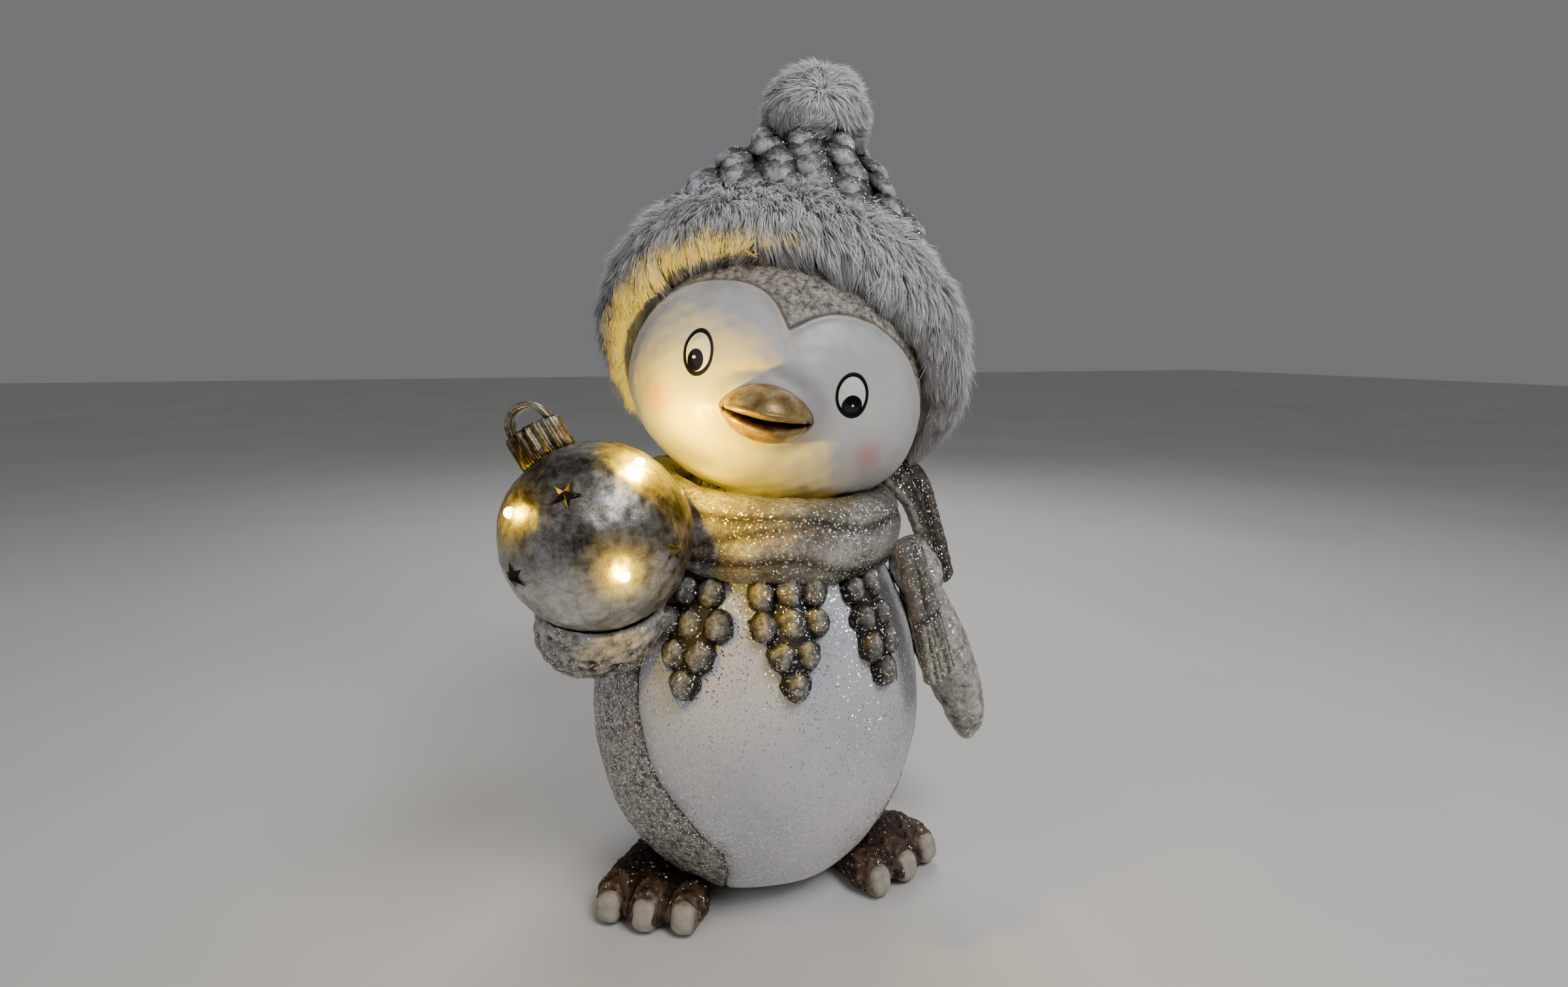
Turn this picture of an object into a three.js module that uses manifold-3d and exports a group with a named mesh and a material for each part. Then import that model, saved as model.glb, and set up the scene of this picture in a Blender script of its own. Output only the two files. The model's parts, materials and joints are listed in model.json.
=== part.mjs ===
// A standing winter penguin figurine, about 400 mm tall, in millimetres.
// +Z is up, the penguin faces -Y, and its own right side is at -X.
// The castings are hollow shells. The right wing carries a bauble lit by LEDs,
// fed from a battery box that sits in the opening under the base.

import * as THREE from "three";
import * as BufferGeometryUtils from "three/addons/utils/BufferGeometryUtils.js";
import Module from "manifold-3d";

const wasm = await Module();
wasm.setup();

// ---------------------------------------------------------------- sizes

// Space left between pieces that touch, and the reach of a cutting tool past what it cuts.
const gap = 0.3;
const past = 1;

const body = {
  bellyRadius: 86,
  bellyHeight: 88,
  upperHalf: 120,
  baseRadius: 42,
  depthRatio: 0.94,
  wall: 4.5,
  archWidth: 56,
  archHeight: 4,
  archStart: 12,
};

const head = {
  halfWidth: 72.5,
  halfDepth: 67,
  crownHalf: 66,
  chinHalf: 56,
  wall: 4.5,
  neckHoleRadius: 18,
  sideShift: 11,
  frontShift: 3,
  heightAboveBelly: 165,
  turn: -17,
  roll: 16,
};
const headHeight = body.bellyHeight + head.heightAboveBelly;

const beak = {
  halfWidth: 19.5,
  length: 19,
  upperHeight: 13,
  lowerHeight: 11,
  mouthGap: 3.4,
  mouthLift: 2,
  mouthDepth: 13,
  sink: 2,
  drop: 6,
};

// The fur brim rings the face like a bonnet. Its plane leans forward from the vertical.
const brim = {
  halfWidth: 79,
  halfHeight: 68,
  bandHalf: 26,
  pileHalf: 14,
  lean: 32,
  sideShift: -3,
  backShift: 19.4,
  rise: 17.9,
};

const hat = {
  wall: 3.5,
  edgeInset: 6,
  edgeForward: 8,
  topRadius: 14,
  topSide: head.sideShift + 17,
  topBack: 9 - head.frontShift,
  topHeight: headHeight + 113,
  backBulge: 40,
};

const pompom = { radius: 25, halfHeight: 22.5, sink: 8.5, sideShift: 4, frontShift: 2 };

const collar = {
  halfWidth: 54,
  halfDepth: 52,
  thick: 15,
  halfHeight: 19,
  height: body.bellyHeight + 103,
  sideShift: 4,
  frontShift: 3,
  pitch: 4,
  roll: 5,
};

// The tail leaves the collar at its front left and hangs clear of the belly.
const tail = {
  width: 21,
  thick: 8,
  length: 68,
  fringeLength: 26,
  fringeCuts: 5,
  cutWidth: 1.6,
  cutDepth: 2.2,
  besideCollar: 1,
  beforeCollar: 2,
  belowCollar: 7,
  drop: 66,
  endTurn: 50.8,
  standOff: 14.8,
  facing: [0.55, -0.83, 0.1],
};
const flap = {
  width: 26,
  thick: 8,
  length: 64,
  besideCollar: 12,
  beforeCollar: 10,
  aboveCollar: 21,
  run: [30, -6, -62],
  facing: [0.9, -0.1, 0.4],
};

const scale = { radius: 6.9, pitch: 11.6, rowPitch: 12.2, standOff: 2.2, coreShare: 0.56 };

// The palm carries the bauble. The bauble's turn is measured round from the front, towards the right wing.
const palm = {
  halfWidth: 29,
  halfHeight: 24,
  height: body.bellyHeight + 67,
  baubleSeat: 1,
  behindBauble: 9.6,
  besideBauble: 0.4,
  tip: -12,
};
const arm = { half: [25, 23, 21], fromPalm: [12, 26, 3], turns: [0, -10, 10] };

const bauble = {
  radius: 40,
  wall: 2.5,
  turn: 55.55,
  tuck: 29.47,
  capTurn: 154,
  capRise: 59,
  capHoleRadius: 7,
};
const baubleTurn = THREE.MathUtils.degToRad(bauble.turn);
const baubleReach = body.bellyRadius + bauble.radius - bauble.tuck;
const baubleCentre = new THREE.Vector3(
  -baubleReach * Math.sin(baubleTurn),
  -baubleReach * Math.cos(baubleTurn),
  palm.height + palm.baubleSeat + bauble.radius,
);
const palmCentre = baubleCentre.clone().add(new THREE.Vector3(-palm.besideBauble, palm.behindBauble, 0));
palmCentre.z = palm.height;
const cap = { radius: 12.4, height: 15, wall: 1.6, seat: 36.6, flutes: 18, fluteDepth: 0.9 };
const loop = { halfWidth: 9.8, height: 10.8, band: 2.1, depth: 5.2, turn: -10 };
const star = { radius: 7.4, waist: 0.46, height: 2.6, sink: 1.0 };
const led = { domeRadius: 2.4, rimDepth: 0.96, stemRadius: 1.4, stemLength: 4, showing: 1.4, clearance: 0.3 };
const lead = { radius: 0.8, clearance: 0.9, order: [2, 1, 0, 4, 3], entryTurn: -77, entryRise: -50 };

// Each pendant: its angle round from the front, its top row's height, and the scales in each row.
const pendants = {
  right: [-34, body.bellyHeight + 79, [2, 3, 2, 1]],
  middle: [0, body.bellyHeight + 79, [3, 3, 2, 1]],
  left: [33, body.bellyHeight + 76, [2, 2, 2, 1]],
};

// Directions from the bauble's centre, in degrees: round from +X, then up.
const starDirections = [
  [-110, 37],
  [-43, 0],
  [-143, -11],
  [60, 28],
  [120, -14],
  [12, -24],
];
const ledDirections = [
  [-39, 55],
  [-153, 23],
  [-77, -10],
  [95, 5],
  [20, 18],
];

const wing = {
  halfThick: 15,
  halfWidth: 22,
  halfLength: 54,
  side: body.bellyRadius + 11,
  front: -22,
  height: body.bellyHeight + 26,
  spread: 22,
  turn: -10,
};

const foot = {
  halfWidth: 27,
  halfLength: 38,
  halfHeight: 12,
  height: 8,
  side: body.baseRadius + 10,
  front: -22,
  splay: 27,
  outerToeBack: 2,
  toeRadius: 9.6,
  toeHalfLength: 13,
  toePitch: 18.8,
  toeReach: 23,
  soleTrim: 0.6,
};

const cell = { radius: 5.25, length: 44.5, between: 0.4, nubRadius: 1.9, nubLength: 1 };
const cellPitch = 2 * cell.radius + cell.between;
const box = { wall: 2, lidThick: 1.8, flangeThick: 2.2, lift: 3, cellRoom: 0.4, springRoom: 6, plateRoom: 2 };
const port = { wall: 4.4 };
const door = { clearance: 0.3, barrelRadius: 0.95, notchRadius: 4, notchDepth: 0.45, notchInset: 6 };
const contact = { thick: 0.6, height: 9, springRadius: 3.6, springTip: 1.5, bumpRadius: 2.4 };
const slider = {
  knobLength: 3.2,
  knobWidth: 3,
  knobShowing: 1,
  travel: 3.6,
  baseLength: 6,
  baseWidth: 4.2,
  baseHeight: 2,
};
const switchCase = { length: 13, width: 7.4, height: 5.4, wall: 1.2, beyondBox: 9.15 };
const board = { length: 24, width: 15, thick: 1.2 };

// ---------------------------------------------------------------- materials

function finish(color, roughness, metalness = 0) {
  return new THREE.MeshStandardMaterial({ color, roughness, metalness });
}

const materials = {
  glitterWhite: finish(0xe4e4e2, 0.6),
  faceWhite: finish(0xe9e8e4, 0.45),
  speckledGrey: finish(0xa9a49c, 0.8),
  coneGrey: finish(0x6b6661, 0.75),
  taupe: finish(0x837567, 0.8),
  umber: finish(0x4a3529, 0.85),
  beakGold: finish(0x9a7a45, 0.5),
  whiteFur: finish(0xf0f0ee, 1),
  silverLeaf: finish(0xb9b4a8, 0.35, 0.8),
  warmLed: finish(0xffdc8c, 0.3),
  blackPlastic: finish(0x1d1d1f, 0.5),
  steel: finish(0xb8babd, 0.3, 1),
  cellSleeve: finish(0x2f6b4a, 0.4),
  boardGreen: finish(0x1f5a38, 0.5),
  leadWire: finish(0xd8d4c8, 0.5),
};

// ---------------------------------------------------------------- solids

function matrix(position = [0, 0, 0], turns = [0, 0, 0]) {
  const euler = new THREE.Euler(...turns.map(THREE.MathUtils.degToRad), "ZYX");
  const rotation = new THREE.Quaternion().setFromEuler(euler);
  return new THREE.Matrix4().compose(new THREE.Vector3(...position), rotation, new THREE.Vector3(1, 1, 1));
}

function solid(geometry, place = new THREE.Matrix4()) {
  const bare = geometry.clone();
  bare.deleteAttribute("normal");
  bare.deleteAttribute("uv");
  const merged = BufferGeometryUtils.mergeVertices(bare, 1e-4).applyMatrix4(place);
  const vertProperties = new Float32Array(merged.attributes.position.array);
  const triVerts = new Uint32Array(merged.index.array);
  return new wasm.Manifold(new wasm.Mesh({ numProp: 3, vertProperties, triVerts }));
}

function block(size, centre, turns) {
  return solid(new THREE.BoxGeometry(...size), matrix(centre, turns));
}

// A cylinder whose axis runs along Z before it is placed.
function rod(radius, length, centre, turns, sides = 20) {
  const geometry = new THREE.CylinderGeometry(radius, radius, length, sides);
  return solid(geometry.rotateX(Math.PI / 2), matrix(centre, turns));
}

// Moves each corner of a geometry to where the function says.
function reshape(geometry, move) {
  const corners = geometry.attributes.position;
  const corner = new THREE.Vector3();
  for (let i = 0; i < corners.count; i += 1) {
    corner.fromBufferAttribute(corners, i);
    corner.copy(move(corner));
    corners.setXYZ(i, corner.x, corner.y, corner.z);
  }
  return geometry;
}

// A ball with its poles on Z, and with its own half sizes up and down.
function egg(halfX, halfY, halfUp, halfDown, place, round = 24, high = 14) {
  const ball = new THREE.SphereGeometry(1, round, high).rotateX(Math.PI / 2);
  reshape(ball, (p) => new THREE.Vector3(p.x * halfX, p.y * halfY, p.z * (p.z > 0 ? halfUp : halfDown)));
  return solid(ball, place);
}

function ellipsoid(half, place, round, high) {
  return egg(half[0], half[1], half[2], half[2], place, round, high);
}

function joined(pieces) {
  return pieces.reduce((whole, piece) => whole.add(piece));
}

function cut(piece, tools) {
  return tools.reduce((rest, tool) => rest.subtract(tool), piece);
}

// The direction from turn degrees round Z from +X and rise degrees up.
function direction(turn, rise) {
  const a = THREE.MathUtils.degToRad(turn);
  const e = THREE.MathUtils.degToRad(rise);
  return new THREE.Vector3(Math.cos(e) * Math.cos(a), Math.cos(e) * Math.sin(a), Math.sin(e));
}

// A frame whose +Z runs along a direction, with its origin on a point.
function alongFrame(point, axis) {
  const rotation = new THREE.Quaternion().setFromUnitVectors(new THREE.Vector3(0, 0, 1), axis);
  return new THREE.Matrix4().compose(point, rotation, new THREE.Vector3(1, 1, 1));
}

// ---------------------------------------------------------------- outer shapes, grown by a clearance

const lowerHalf = body.bellyHeight / Math.sqrt(1 - (body.baseRadius / body.bellyRadius) ** 2);
const bodyFrame = matrix([0, 0, body.bellyHeight]);
const beyond = 2 * (body.bellyRadius + body.upperHalf);

function bodyOuter(grow) {
  const wide = body.bellyRadius + grow;
  return egg(wide, wide * body.depthRatio, body.upperHalf + grow, lowerHalf + grow, bodyFrame, 30, 18);
}

// The radius of the body's outer face across the body at a height.
function bodyRadiusAt(height) {
  const offset = height - body.bellyHeight;
  const half = offset > 0 ? body.upperHalf : lowerHalf;
  return body.bellyRadius * Math.sqrt(1 - (offset / half) ** 2);
}

const headCentre = [head.sideShift, -head.frontShift, headHeight];
const headFrame = matrix(headCentre, [0, head.roll, head.turn]);

function headOuter(grow) {
  const wide = head.halfWidth + grow;
  return egg(wide, head.halfDepth + grow, head.crownHalf + grow, head.chinHalf + grow, headFrame, 26, 15);
}

// The brim's own directions in the head's frame: across, along the ring's height, and through the ring.
const lean = THREE.MathUtils.degToRad(brim.lean);
const ringAcross = new THREE.Vector3(1, 0, 0);
const ringUp = new THREE.Vector3(0, -Math.sin(lean), Math.cos(lean));
const ringThrough = new THREE.Vector3(0, Math.cos(lean), Math.sin(lean));
const ringCentre = new THREE.Vector3(brim.sideShift, brim.backShift, brim.rise);

function brimOuter(grow) {
  const ring = new THREE.TorusGeometry(2, 1, 10, 30);
  reshape(ring, (p) => {
    const spread = Math.hypot(p.x, p.y);
    const radial = (spread - 2) * (brim.pileHalf + grow);
    const across = (p.x / spread) * (brim.halfWidth + radial);
    const up = (p.y / spread) * (brim.halfHeight + radial);
    return ringCentre
      .clone()
      .addScaledVector(ringAcross, across)
      .addScaledVector(ringUp, up)
      .addScaledVector(ringThrough, -p.z * (brim.bandHalf + grow));
  });
  return solid(ring, headFrame);
}

// The hat runs from an edge loop under the brim to a small circle under the pompom.
const hatTop = new THREE.Vector3(hat.topSide, hat.topBack, hat.topHeight);

function hatPoint(turn, run, share, inset) {
  const c = Math.cos(turn);
  const s = Math.sin(turn);
  const loopWide = brim.halfWidth - hat.edgeInset - inset;
  const loopHigh = brim.halfHeight - hat.edgeInset - inset;
  const forward = -hat.edgeForward - (inset > 0 ? past : 0);
  const edgeCentre = ringCentre.clone().addScaledVector(ringThrough, forward).applyMatrix4(headFrame);
  const edge = ringCentre
    .clone()
    .addScaledVector(ringThrough, forward)
    .addScaledVector(ringAcross, c * loopWide)
    .addScaledVector(ringUp, s * loopHigh)
    .applyMatrix4(headFrame);
  const topRadius = Math.max(hat.topRadius - inset, 1);
  const top = hatTop.clone().add(new THREE.Vector3(c * topRadius, -s * topRadius, -inset));
  const bulge = (hat.backBulge * (1 - s)) / 2 + (inset > 0 ? -inset : 0);
  const middle = edge.clone().lerp(top, 0.5).add(new THREE.Vector3(c * bulge, -s * bulge, 0));
  const control = middle.multiplyScalar(2).sub(edge.clone().lerp(top, 0.5));
  const wall = new THREE.QuadraticBezierCurve3(edge, control, top);
  const centre = edgeCentre.lerp(hatTop, run).add(new THREE.Vector3(0, 0, -inset * run));
  return centre.lerp(wall.getPoint(run), share);
}

function hatOuter(inset, round, rows) {
  const tube = new THREE.CylinderGeometry(1, 1, 1, round, rows);
  reshape(tube, (p) => {
    const share = Math.min(1, Math.hypot(p.x, p.z));
    const run = p.y + 0.5;
    return hatPoint(Math.atan2(p.z, p.x), run, share, inset);
  });
  return solid(tube);
}

function baubleOuter(grow) {
  const size = bauble.radius + grow;
  return ellipsoid([size, size, size], matrix(baubleCentre.toArray()), 26, 15);
}

function collarOuter(grow) {
  const ring = new THREE.TorusGeometry(2, 1, 10, 28);
  reshape(ring, (p) => {
    const spread = Math.hypot(p.x, p.y);
    const radial = (spread - 2) * (collar.thick + grow);
    const x = (p.x / spread) * (collar.halfWidth + radial);
    const y = (p.y / spread) * (collar.halfDepth + radial);
    return new THREE.Vector3(x, y, p.z * (collar.halfHeight + grow));
  });
  const place = [collar.sideShift, -collar.frontShift, collar.height];
  return solid(ring, matrix(place, [collar.pitch, collar.roll, 0]));
}

function wingOuter(grow) {
  const half = [wing.halfThick + grow, wing.halfWidth + grow, wing.halfLength + grow];
  const place = matrix([wing.side, wing.front, wing.height], [0, -wing.spread, wing.turn]);
  return ellipsoid(half, place, 16, 12);
}

// ---------------------------------------------------------------- pieces

const pieces = [];

function add(name, piece, material) {
  const { vertProperties, triVerts } = piece.getMesh();
  const geometry = new THREE.BufferGeometry();
  geometry.setAttribute("position", new THREE.BufferAttribute(vertProperties, 3));
  geometry.setIndex(new THREE.BufferAttribute(triVerts, 1));
  const mesh = new THREE.Mesh(geometry, material);
  mesh.name = name;
  pieces.push(mesh);
}

// ---- the lead's route: battery box, body, raised wing, bauble, then past each LED

const boxOuter = {
  length: cell.length + box.springRoom + box.plateRoom + 2 * box.wall,
  width: 3 * cellPitch + 2 * box.wall,
  top: box.lift + box.lidThick + 2 * box.cellRoom + 2 * cell.radius + box.wall,
};
const boardTop = boxOuter.top + gap + board.thick;
const ledRingRadius = bauble.radius + led.showing - led.domeRadius - led.stemLength - gap - lead.radius;

const firstTurn = direction(lead.entryTurn, lead.entryRise);

// The lead climbs from the board through the body, crosses the arm and the palm, and turns up
// into the bauble.
function pointsToBauble() {
  const fromPalm = (x, y, z) => palmCentre.clone().add(new THREE.Vector3(x, y, z));
  const fromBottom = (z) => baubleCentre.clone().add(new THREE.Vector3(0, 0, z - bauble.radius));
  return [
    new THREE.Vector3(-4, 2, boardTop + gap),
    new THREE.Vector3(-8, 4, body.bellyHeight - 38),
    new THREE.Vector3(-22, -4, body.bellyHeight + 17),
    fromPalm(26, 19, -15),
    fromPalm(7, 3, -12),
    fromBottom(-1),
    fromBottom(9),
    baubleCentre.clone().addScaledVector(firstTurn, ledRingRadius - 4),
  ];
}

function leadRoute() {
  const points = pointsToBauble();
  let last = firstTurn;
  for (const index of lead.order) {
    const next = direction(...ledDirections[index]);
    const halfway = last.clone().add(next).normalize();
    points.push(baubleCentre.clone().addScaledVector(halfway, ledRingRadius - 1));
    points.push(baubleCentre.clone().addScaledVector(next, ledRingRadius));
    last = next;
  }
  return new THREE.CatmullRomCurve3(points, false, "centripetal");
}

function roundSection(radius, sides) {
  const section = new THREE.Shape();
  for (let i = 0; i < sides; i += 1) {
    const angle = (i / sides) * 2 * Math.PI;
    section[i ? "lineTo" : "moveTo"](radius * Math.cos(angle), radius * Math.sin(angle));
  }
  section.closePath();
  return section;
}

function tube(curve, radius, sides, steps) {
  const settings = { steps, bevelEnabled: false, extrudePath: curve };
  return new THREE.ExtrudeGeometry(roundSection(radius, sides), settings);
}

// The way through the body's wall, the raised wing and the bauble's wall.
function leadPassage() {
  const curve = new THREE.CatmullRomCurve3(pointsToBauble(), false, "centripetal");
  return solid(tube(curve, lead.radius + lead.clearance, 8, 30));
}

const passage = leadPassage();
const floorTool = block([2 * beyond, 2 * beyond, beyond], [0, 0, -beyond / 2]);

function buildBody() {
  const inner = egg(
    body.bellyRadius - body.wall,
    body.bellyRadius * body.depthRatio - body.wall,
    body.upperHalf - body.wall,
    lowerHalf - body.wall,
    bodyFrame,
    20,
    12,
  );
  const portLength = body.bellyHeight / 2;
  const portHole = rod(body.baseRadius - port.wall, portLength, [0, 0, portLength / 2 - past], [0, 0, 0], 28)
    .scale([1, body.depthRatio, 1]);
  const archLength = body.bellyRadius;
  const arch = rod(1, archLength, [0, 0, 0], [90, 0, 0], 16)
    .scale([body.archWidth / 2, 1, body.archHeight])
    .translate([0, -archLength / 2 - body.archStart, 0]);
  return cut(bodyOuter(0), [inner, portHole, floorTool, headOuter(gap), arch, passage]);
}

function buildHead() {
  const inner = egg(
    head.halfWidth - head.wall,
    head.halfDepth - head.wall,
    head.crownHalf - head.wall,
    head.chinHalf - head.wall,
    headFrame,
    18,
    10,
  );
  const [x, y, z] = headCentre;
  const neckHole = rod(head.neckHoleRadius, head.chinHalf, [x, y, z - head.chinHalf]);
  return cut(headOuter(0), [inner, neckHole]);
}

function buildBeak() {
  const seat = [0, -head.halfDepth + beak.sink, -beak.drop];
  const place = headFrame.clone().multiply(matrix(seat));
  const both = egg(beak.halfWidth, beak.length, beak.upperHeight, beak.lowerHeight, place, 16, 10);
  const wedge = new THREE.Shape();
  wedge.moveTo(-beak.length - past, -beak.mouthGap);
  wedge.lineTo(-beak.length - past, beak.mouthLift);
  wedge.lineTo(-beak.length + beak.mouthDepth, 0);
  wedge.closePath();
  const mouth = new THREE.ExtrudeGeometry(wedge, { depth: 2 * (beak.halfWidth + past), bevelEnabled: false });
  mouth.translate(0, 0, -beak.halfWidth - past);
  mouth.applyMatrix4(new THREE.Matrix4().makeBasis(
    new THREE.Vector3(0, 1, 0),
    new THREE.Vector3(0, 0, 1),
    new THREE.Vector3(1, 0, 0),
  ));
  return cut(both, [headOuter(gap), solid(mouth, place)]);
}

function buildHat() {
  const shell = hatOuter(0, 28, 8).subtract(hatOuter(hat.wall, 20, 6));
  return cut(shell, [headOuter(gap)]);
}

function buildBrim() {
  return cut(brimOuter(0), [headOuter(gap), hatOuter(-gap, 28, 8), collarOuter(gap), bodyOuter(gap)]);
}

function pompomOuter() {
  const height = hat.topHeight + pompom.halfHeight - pompom.sink;
  const middle = [hat.topSide + pompom.sideShift, hat.topBack - pompom.frontShift, height];
  return ellipsoid([pompom.radius, pompom.radius, pompom.halfHeight], matrix(middle), 16, 10);
}

function buildPompom() {
  return cut(pompomOuter(), [hatOuter(-gap, 28, 8)]);
}

function buildCollar() {
  return cut(collarOuter(0), [headOuter(gap), bodyOuter(gap), baubleOuter(star.height + gap)]);
}

const wingTool = wingOuter(gap);
const collarTool = collarOuter(gap);

// A flat strip that hangs from one point to another, facing outward.
function stripFrame(from, to, outward) {
  const down = to.clone().sub(from).normalize();
  const across = new THREE.Vector3().crossVectors(down, outward).normalize();
  const face = new THREE.Vector3().crossVectors(across, down);
  const turn = new THREE.Matrix4().makeBasis(across, face, down.clone().negate());
  const centre = from.clone().lerp(to, 0.5);
  return new THREE.Matrix4().makeTranslation(centre).multiply(turn);
}

function buildTail() {
  const from = new THREE.Vector3(
    collar.sideShift + collar.halfWidth + tail.besideCollar,
    -collar.halfDepth - tail.beforeCollar,
    collar.height - tail.belowCollar,
  );
  const endHeight = from.z - tail.drop;
  const endReach = bodyRadiusAt(endHeight) + tail.standOff;
  const endTurn = THREE.MathUtils.degToRad(tail.endTurn);
  const to = new THREE.Vector3(endReach * Math.sin(endTurn), -endReach * Math.cos(endTurn), endHeight);
  const place = stripFrame(from, to, new THREE.Vector3(...tail.facing));
  const strip = solid(new THREE.BoxGeometry(tail.width, tail.thick, tail.length), place);
  const cuts = [];
  for (let i = 0; i < tail.fringeCuts; i += 1) {
    const x = ((i + 1) / (tail.fringeCuts + 1) - 0.5) * tail.width;
    const groove = new THREE.BoxGeometry(tail.cutWidth, 2 * tail.cutDepth, tail.fringeLength + past);
    groove.translate(x, 0, 0);
    for (const side of [-1, 1]) {
      const down = (tail.length - tail.fringeLength + past) / 2;
      const tool = groove.clone().translate(0, (side * tail.thick) / 2, -down);
      cuts.push(solid(tool, place));
    }
  }
  const beside = pendantOuter(pendants.left, gap);
  return cut(strip, [...cuts, collarTool, bodyOuter(gap), wingTool, beside]);
}

function buildFlap() {
  const from = new THREE.Vector3(
    collar.sideShift + collar.halfWidth + flap.besideCollar,
    -flap.beforeCollar,
    collar.height + flap.aboveCollar,
  );
  const to = from.clone().add(new THREE.Vector3(...flap.run));
  const place = stripFrame(from, to, new THREE.Vector3(...flap.facing));
  const strip = solid(new THREE.BoxGeometry(flap.width, flap.thick, flap.length), place);
  return cut(strip, [collarTool, headOuter(gap), bodyOuter(gap), wingTool, brimOuter(gap)]);
}

// Overlapping round scales in rows, on the belly at an angle round from the front.
function pendantOuter([angle, top, rows], grow) {
  const length = (rows.length - 1) * scale.rowPitch;
  const coreHeight = top - length / 2;
  const coreRadius = bodyRadiusAt(coreHeight);
  const coreTurn = THREE.MathUtils.degToRad(angle);
  const coreFront = -coreRadius * body.depthRatio * Math.cos(coreTurn);
  const coreAt = [coreRadius * Math.sin(coreTurn), coreFront, coreHeight];
  const slope = THREE.MathUtils.radToDeg(Math.atan2(bodyRadiusAt(top - length) - bodyRadiusAt(top), length));
  const coreSize = [scale.pitch + grow, scale.radius + grow, length * scale.coreShare + grow];
  const core = ellipsoid(coreSize, matrix(coreAt, [-slope, 0, angle]), 12, 8);
  const scales = [core];
  rows.forEach((count, row) => {
    const height = top - row * scale.rowPitch;
    const radius = bodyRadiusAt(height) + scale.standOff;
    for (let i = 0; i < count; i += 1) {
      const aside = (i - (count - 1) / 2) * scale.pitch;
      const turn = THREE.MathUtils.degToRad(angle) + aside / radius;
      const place = [radius * Math.sin(turn), -radius * body.depthRatio * Math.cos(turn), height];
      const ball = new THREE.IcosahedronGeometry(scale.radius + grow, 1);
      scales.push(solid(ball, matrix(place)));
    }
  });
  return joined(scales);
}

function buildPendant(pendant) {
  return cut(pendantOuter(pendant, 0), [collarTool, bodyOuter(gap)]);
}

function buildRaisedWing() {
  const bowl = ellipsoid(
    [palm.halfWidth, palm.halfWidth, palm.halfHeight],
    matrix(palmCentre.toArray(), [0, palm.tip, 0]),
    18,
    12,
  );
  const armCentre = palmCentre.clone().add(new THREE.Vector3(...arm.fromPalm));
  const upperArm = ellipsoid(arm.half, matrix(armCentre.toArray(), arm.turns), 14, 10);
  const beside = pendantOuter(pendants.right, gap);
  return cut(bowl.add(upperArm), [baubleOuter(gap), bodyOuter(gap), collarTool, beside, passage]);
}

function buildHangingWing() {
  return cut(wingOuter(0), [bodyOuter(gap), collarTool]);
}

function buildFoot(side) {
  const place = matrix([side * foot.side, foot.front, 0], [0, 0, side * foot.splay]);
  const at = (x, y, z) => place.clone().multiply(matrix([x, y, z]));
  const parts = [ellipsoid([foot.halfWidth, foot.halfLength, foot.halfHeight], at(0, 0, foot.height), 16, 9)];
  for (const toe of [-1, 0, 1]) {
    const size = [foot.toeRadius, foot.toeHalfLength, foot.toeRadius];
    const reach = -foot.toeReach + Math.abs(toe) * foot.outerToeBack;
    parts.push(ellipsoid(size, at(toe * foot.toePitch, reach, foot.toeRadius - foot.soleTrim), 10, 8));
  }
  return cut(joined(parts), [bodyOuter(gap), floorTool]);
}

function buildBaubleShell(ledHoles) {
  const size = bauble.radius - bauble.wall;
  const inner = ellipsoid([size, size, size], matrix(baubleCentre.toArray()), 16, 10);
  const capAxis = direction(bauble.capTurn, bauble.capRise);
  const capHole = rod(bauble.capHoleRadius, bauble.radius / 2, [0, 0, bauble.radius], [0, 0, 0], 20);
  const placed = capHole.transform(alongFrame(baubleCentre, capAxis).toArray());
  return cut(baubleOuter(0), [inner, placed, passage, ...ledHoles]);
}

const capFrame = alongFrame(baubleCentre, direction(bauble.capTurn, bauble.capRise));

function buildCap() {
  const outline = new THREE.Shape();
  const corners = cap.flutes * 2;
  for (let i = 0; i < corners; i += 1) {
    const angle = (i / corners) * 2 * Math.PI;
    const radius = cap.radius - (i % 2 ? cap.fluteDepth : 0);
    outline[i ? "lineTo" : "moveTo"](radius * Math.cos(angle), radius * Math.sin(angle));
  }
  outline.closePath();
  const fluted = new THREE.ExtrudeGeometry(outline, { depth: cap.height, bevelEnabled: false });
  fluted.translate(0, 0, cap.seat);
  const hollowLength = cap.height - cap.wall + past;
  const hollow = new THREE.CylinderGeometry(
    cap.radius - cap.fluteDepth - cap.wall,
    cap.radius - cap.fluteDepth - cap.wall,
    hollowLength,
    24,
  ).rotateX(Math.PI / 2).translate(0, 0, cap.seat - past + hollowLength / 2);
  return cut(solid(fluted, capFrame), [solid(hollow, capFrame), baubleOuter(gap)]);
}

function buildLoop() {
  const arch = new THREE.Shape();
  arch.moveTo(loop.halfWidth, 0);
  arch.absellipse(0, 0, loop.halfWidth, loop.height, 0, Math.PI, false, 0);
  arch.lineTo(-loop.halfWidth + loop.band, 0);
  arch.absellipse(0, 0, loop.halfWidth - loop.band, loop.height - loop.band, Math.PI, 0, true, 0);
  arch.closePath();
  const band = new THREE.ExtrudeGeometry(arch, { depth: loop.depth, bevelEnabled: false, curveSegments: 10 });
  band.translate(0, 0, -loop.depth / 2).rotateX(Math.PI / 2).rotateZ(THREE.MathUtils.degToRad(loop.turn));
  band.translate(0, 0, cap.seat + cap.height + gap);
  return solid(band, capFrame);
}

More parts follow.
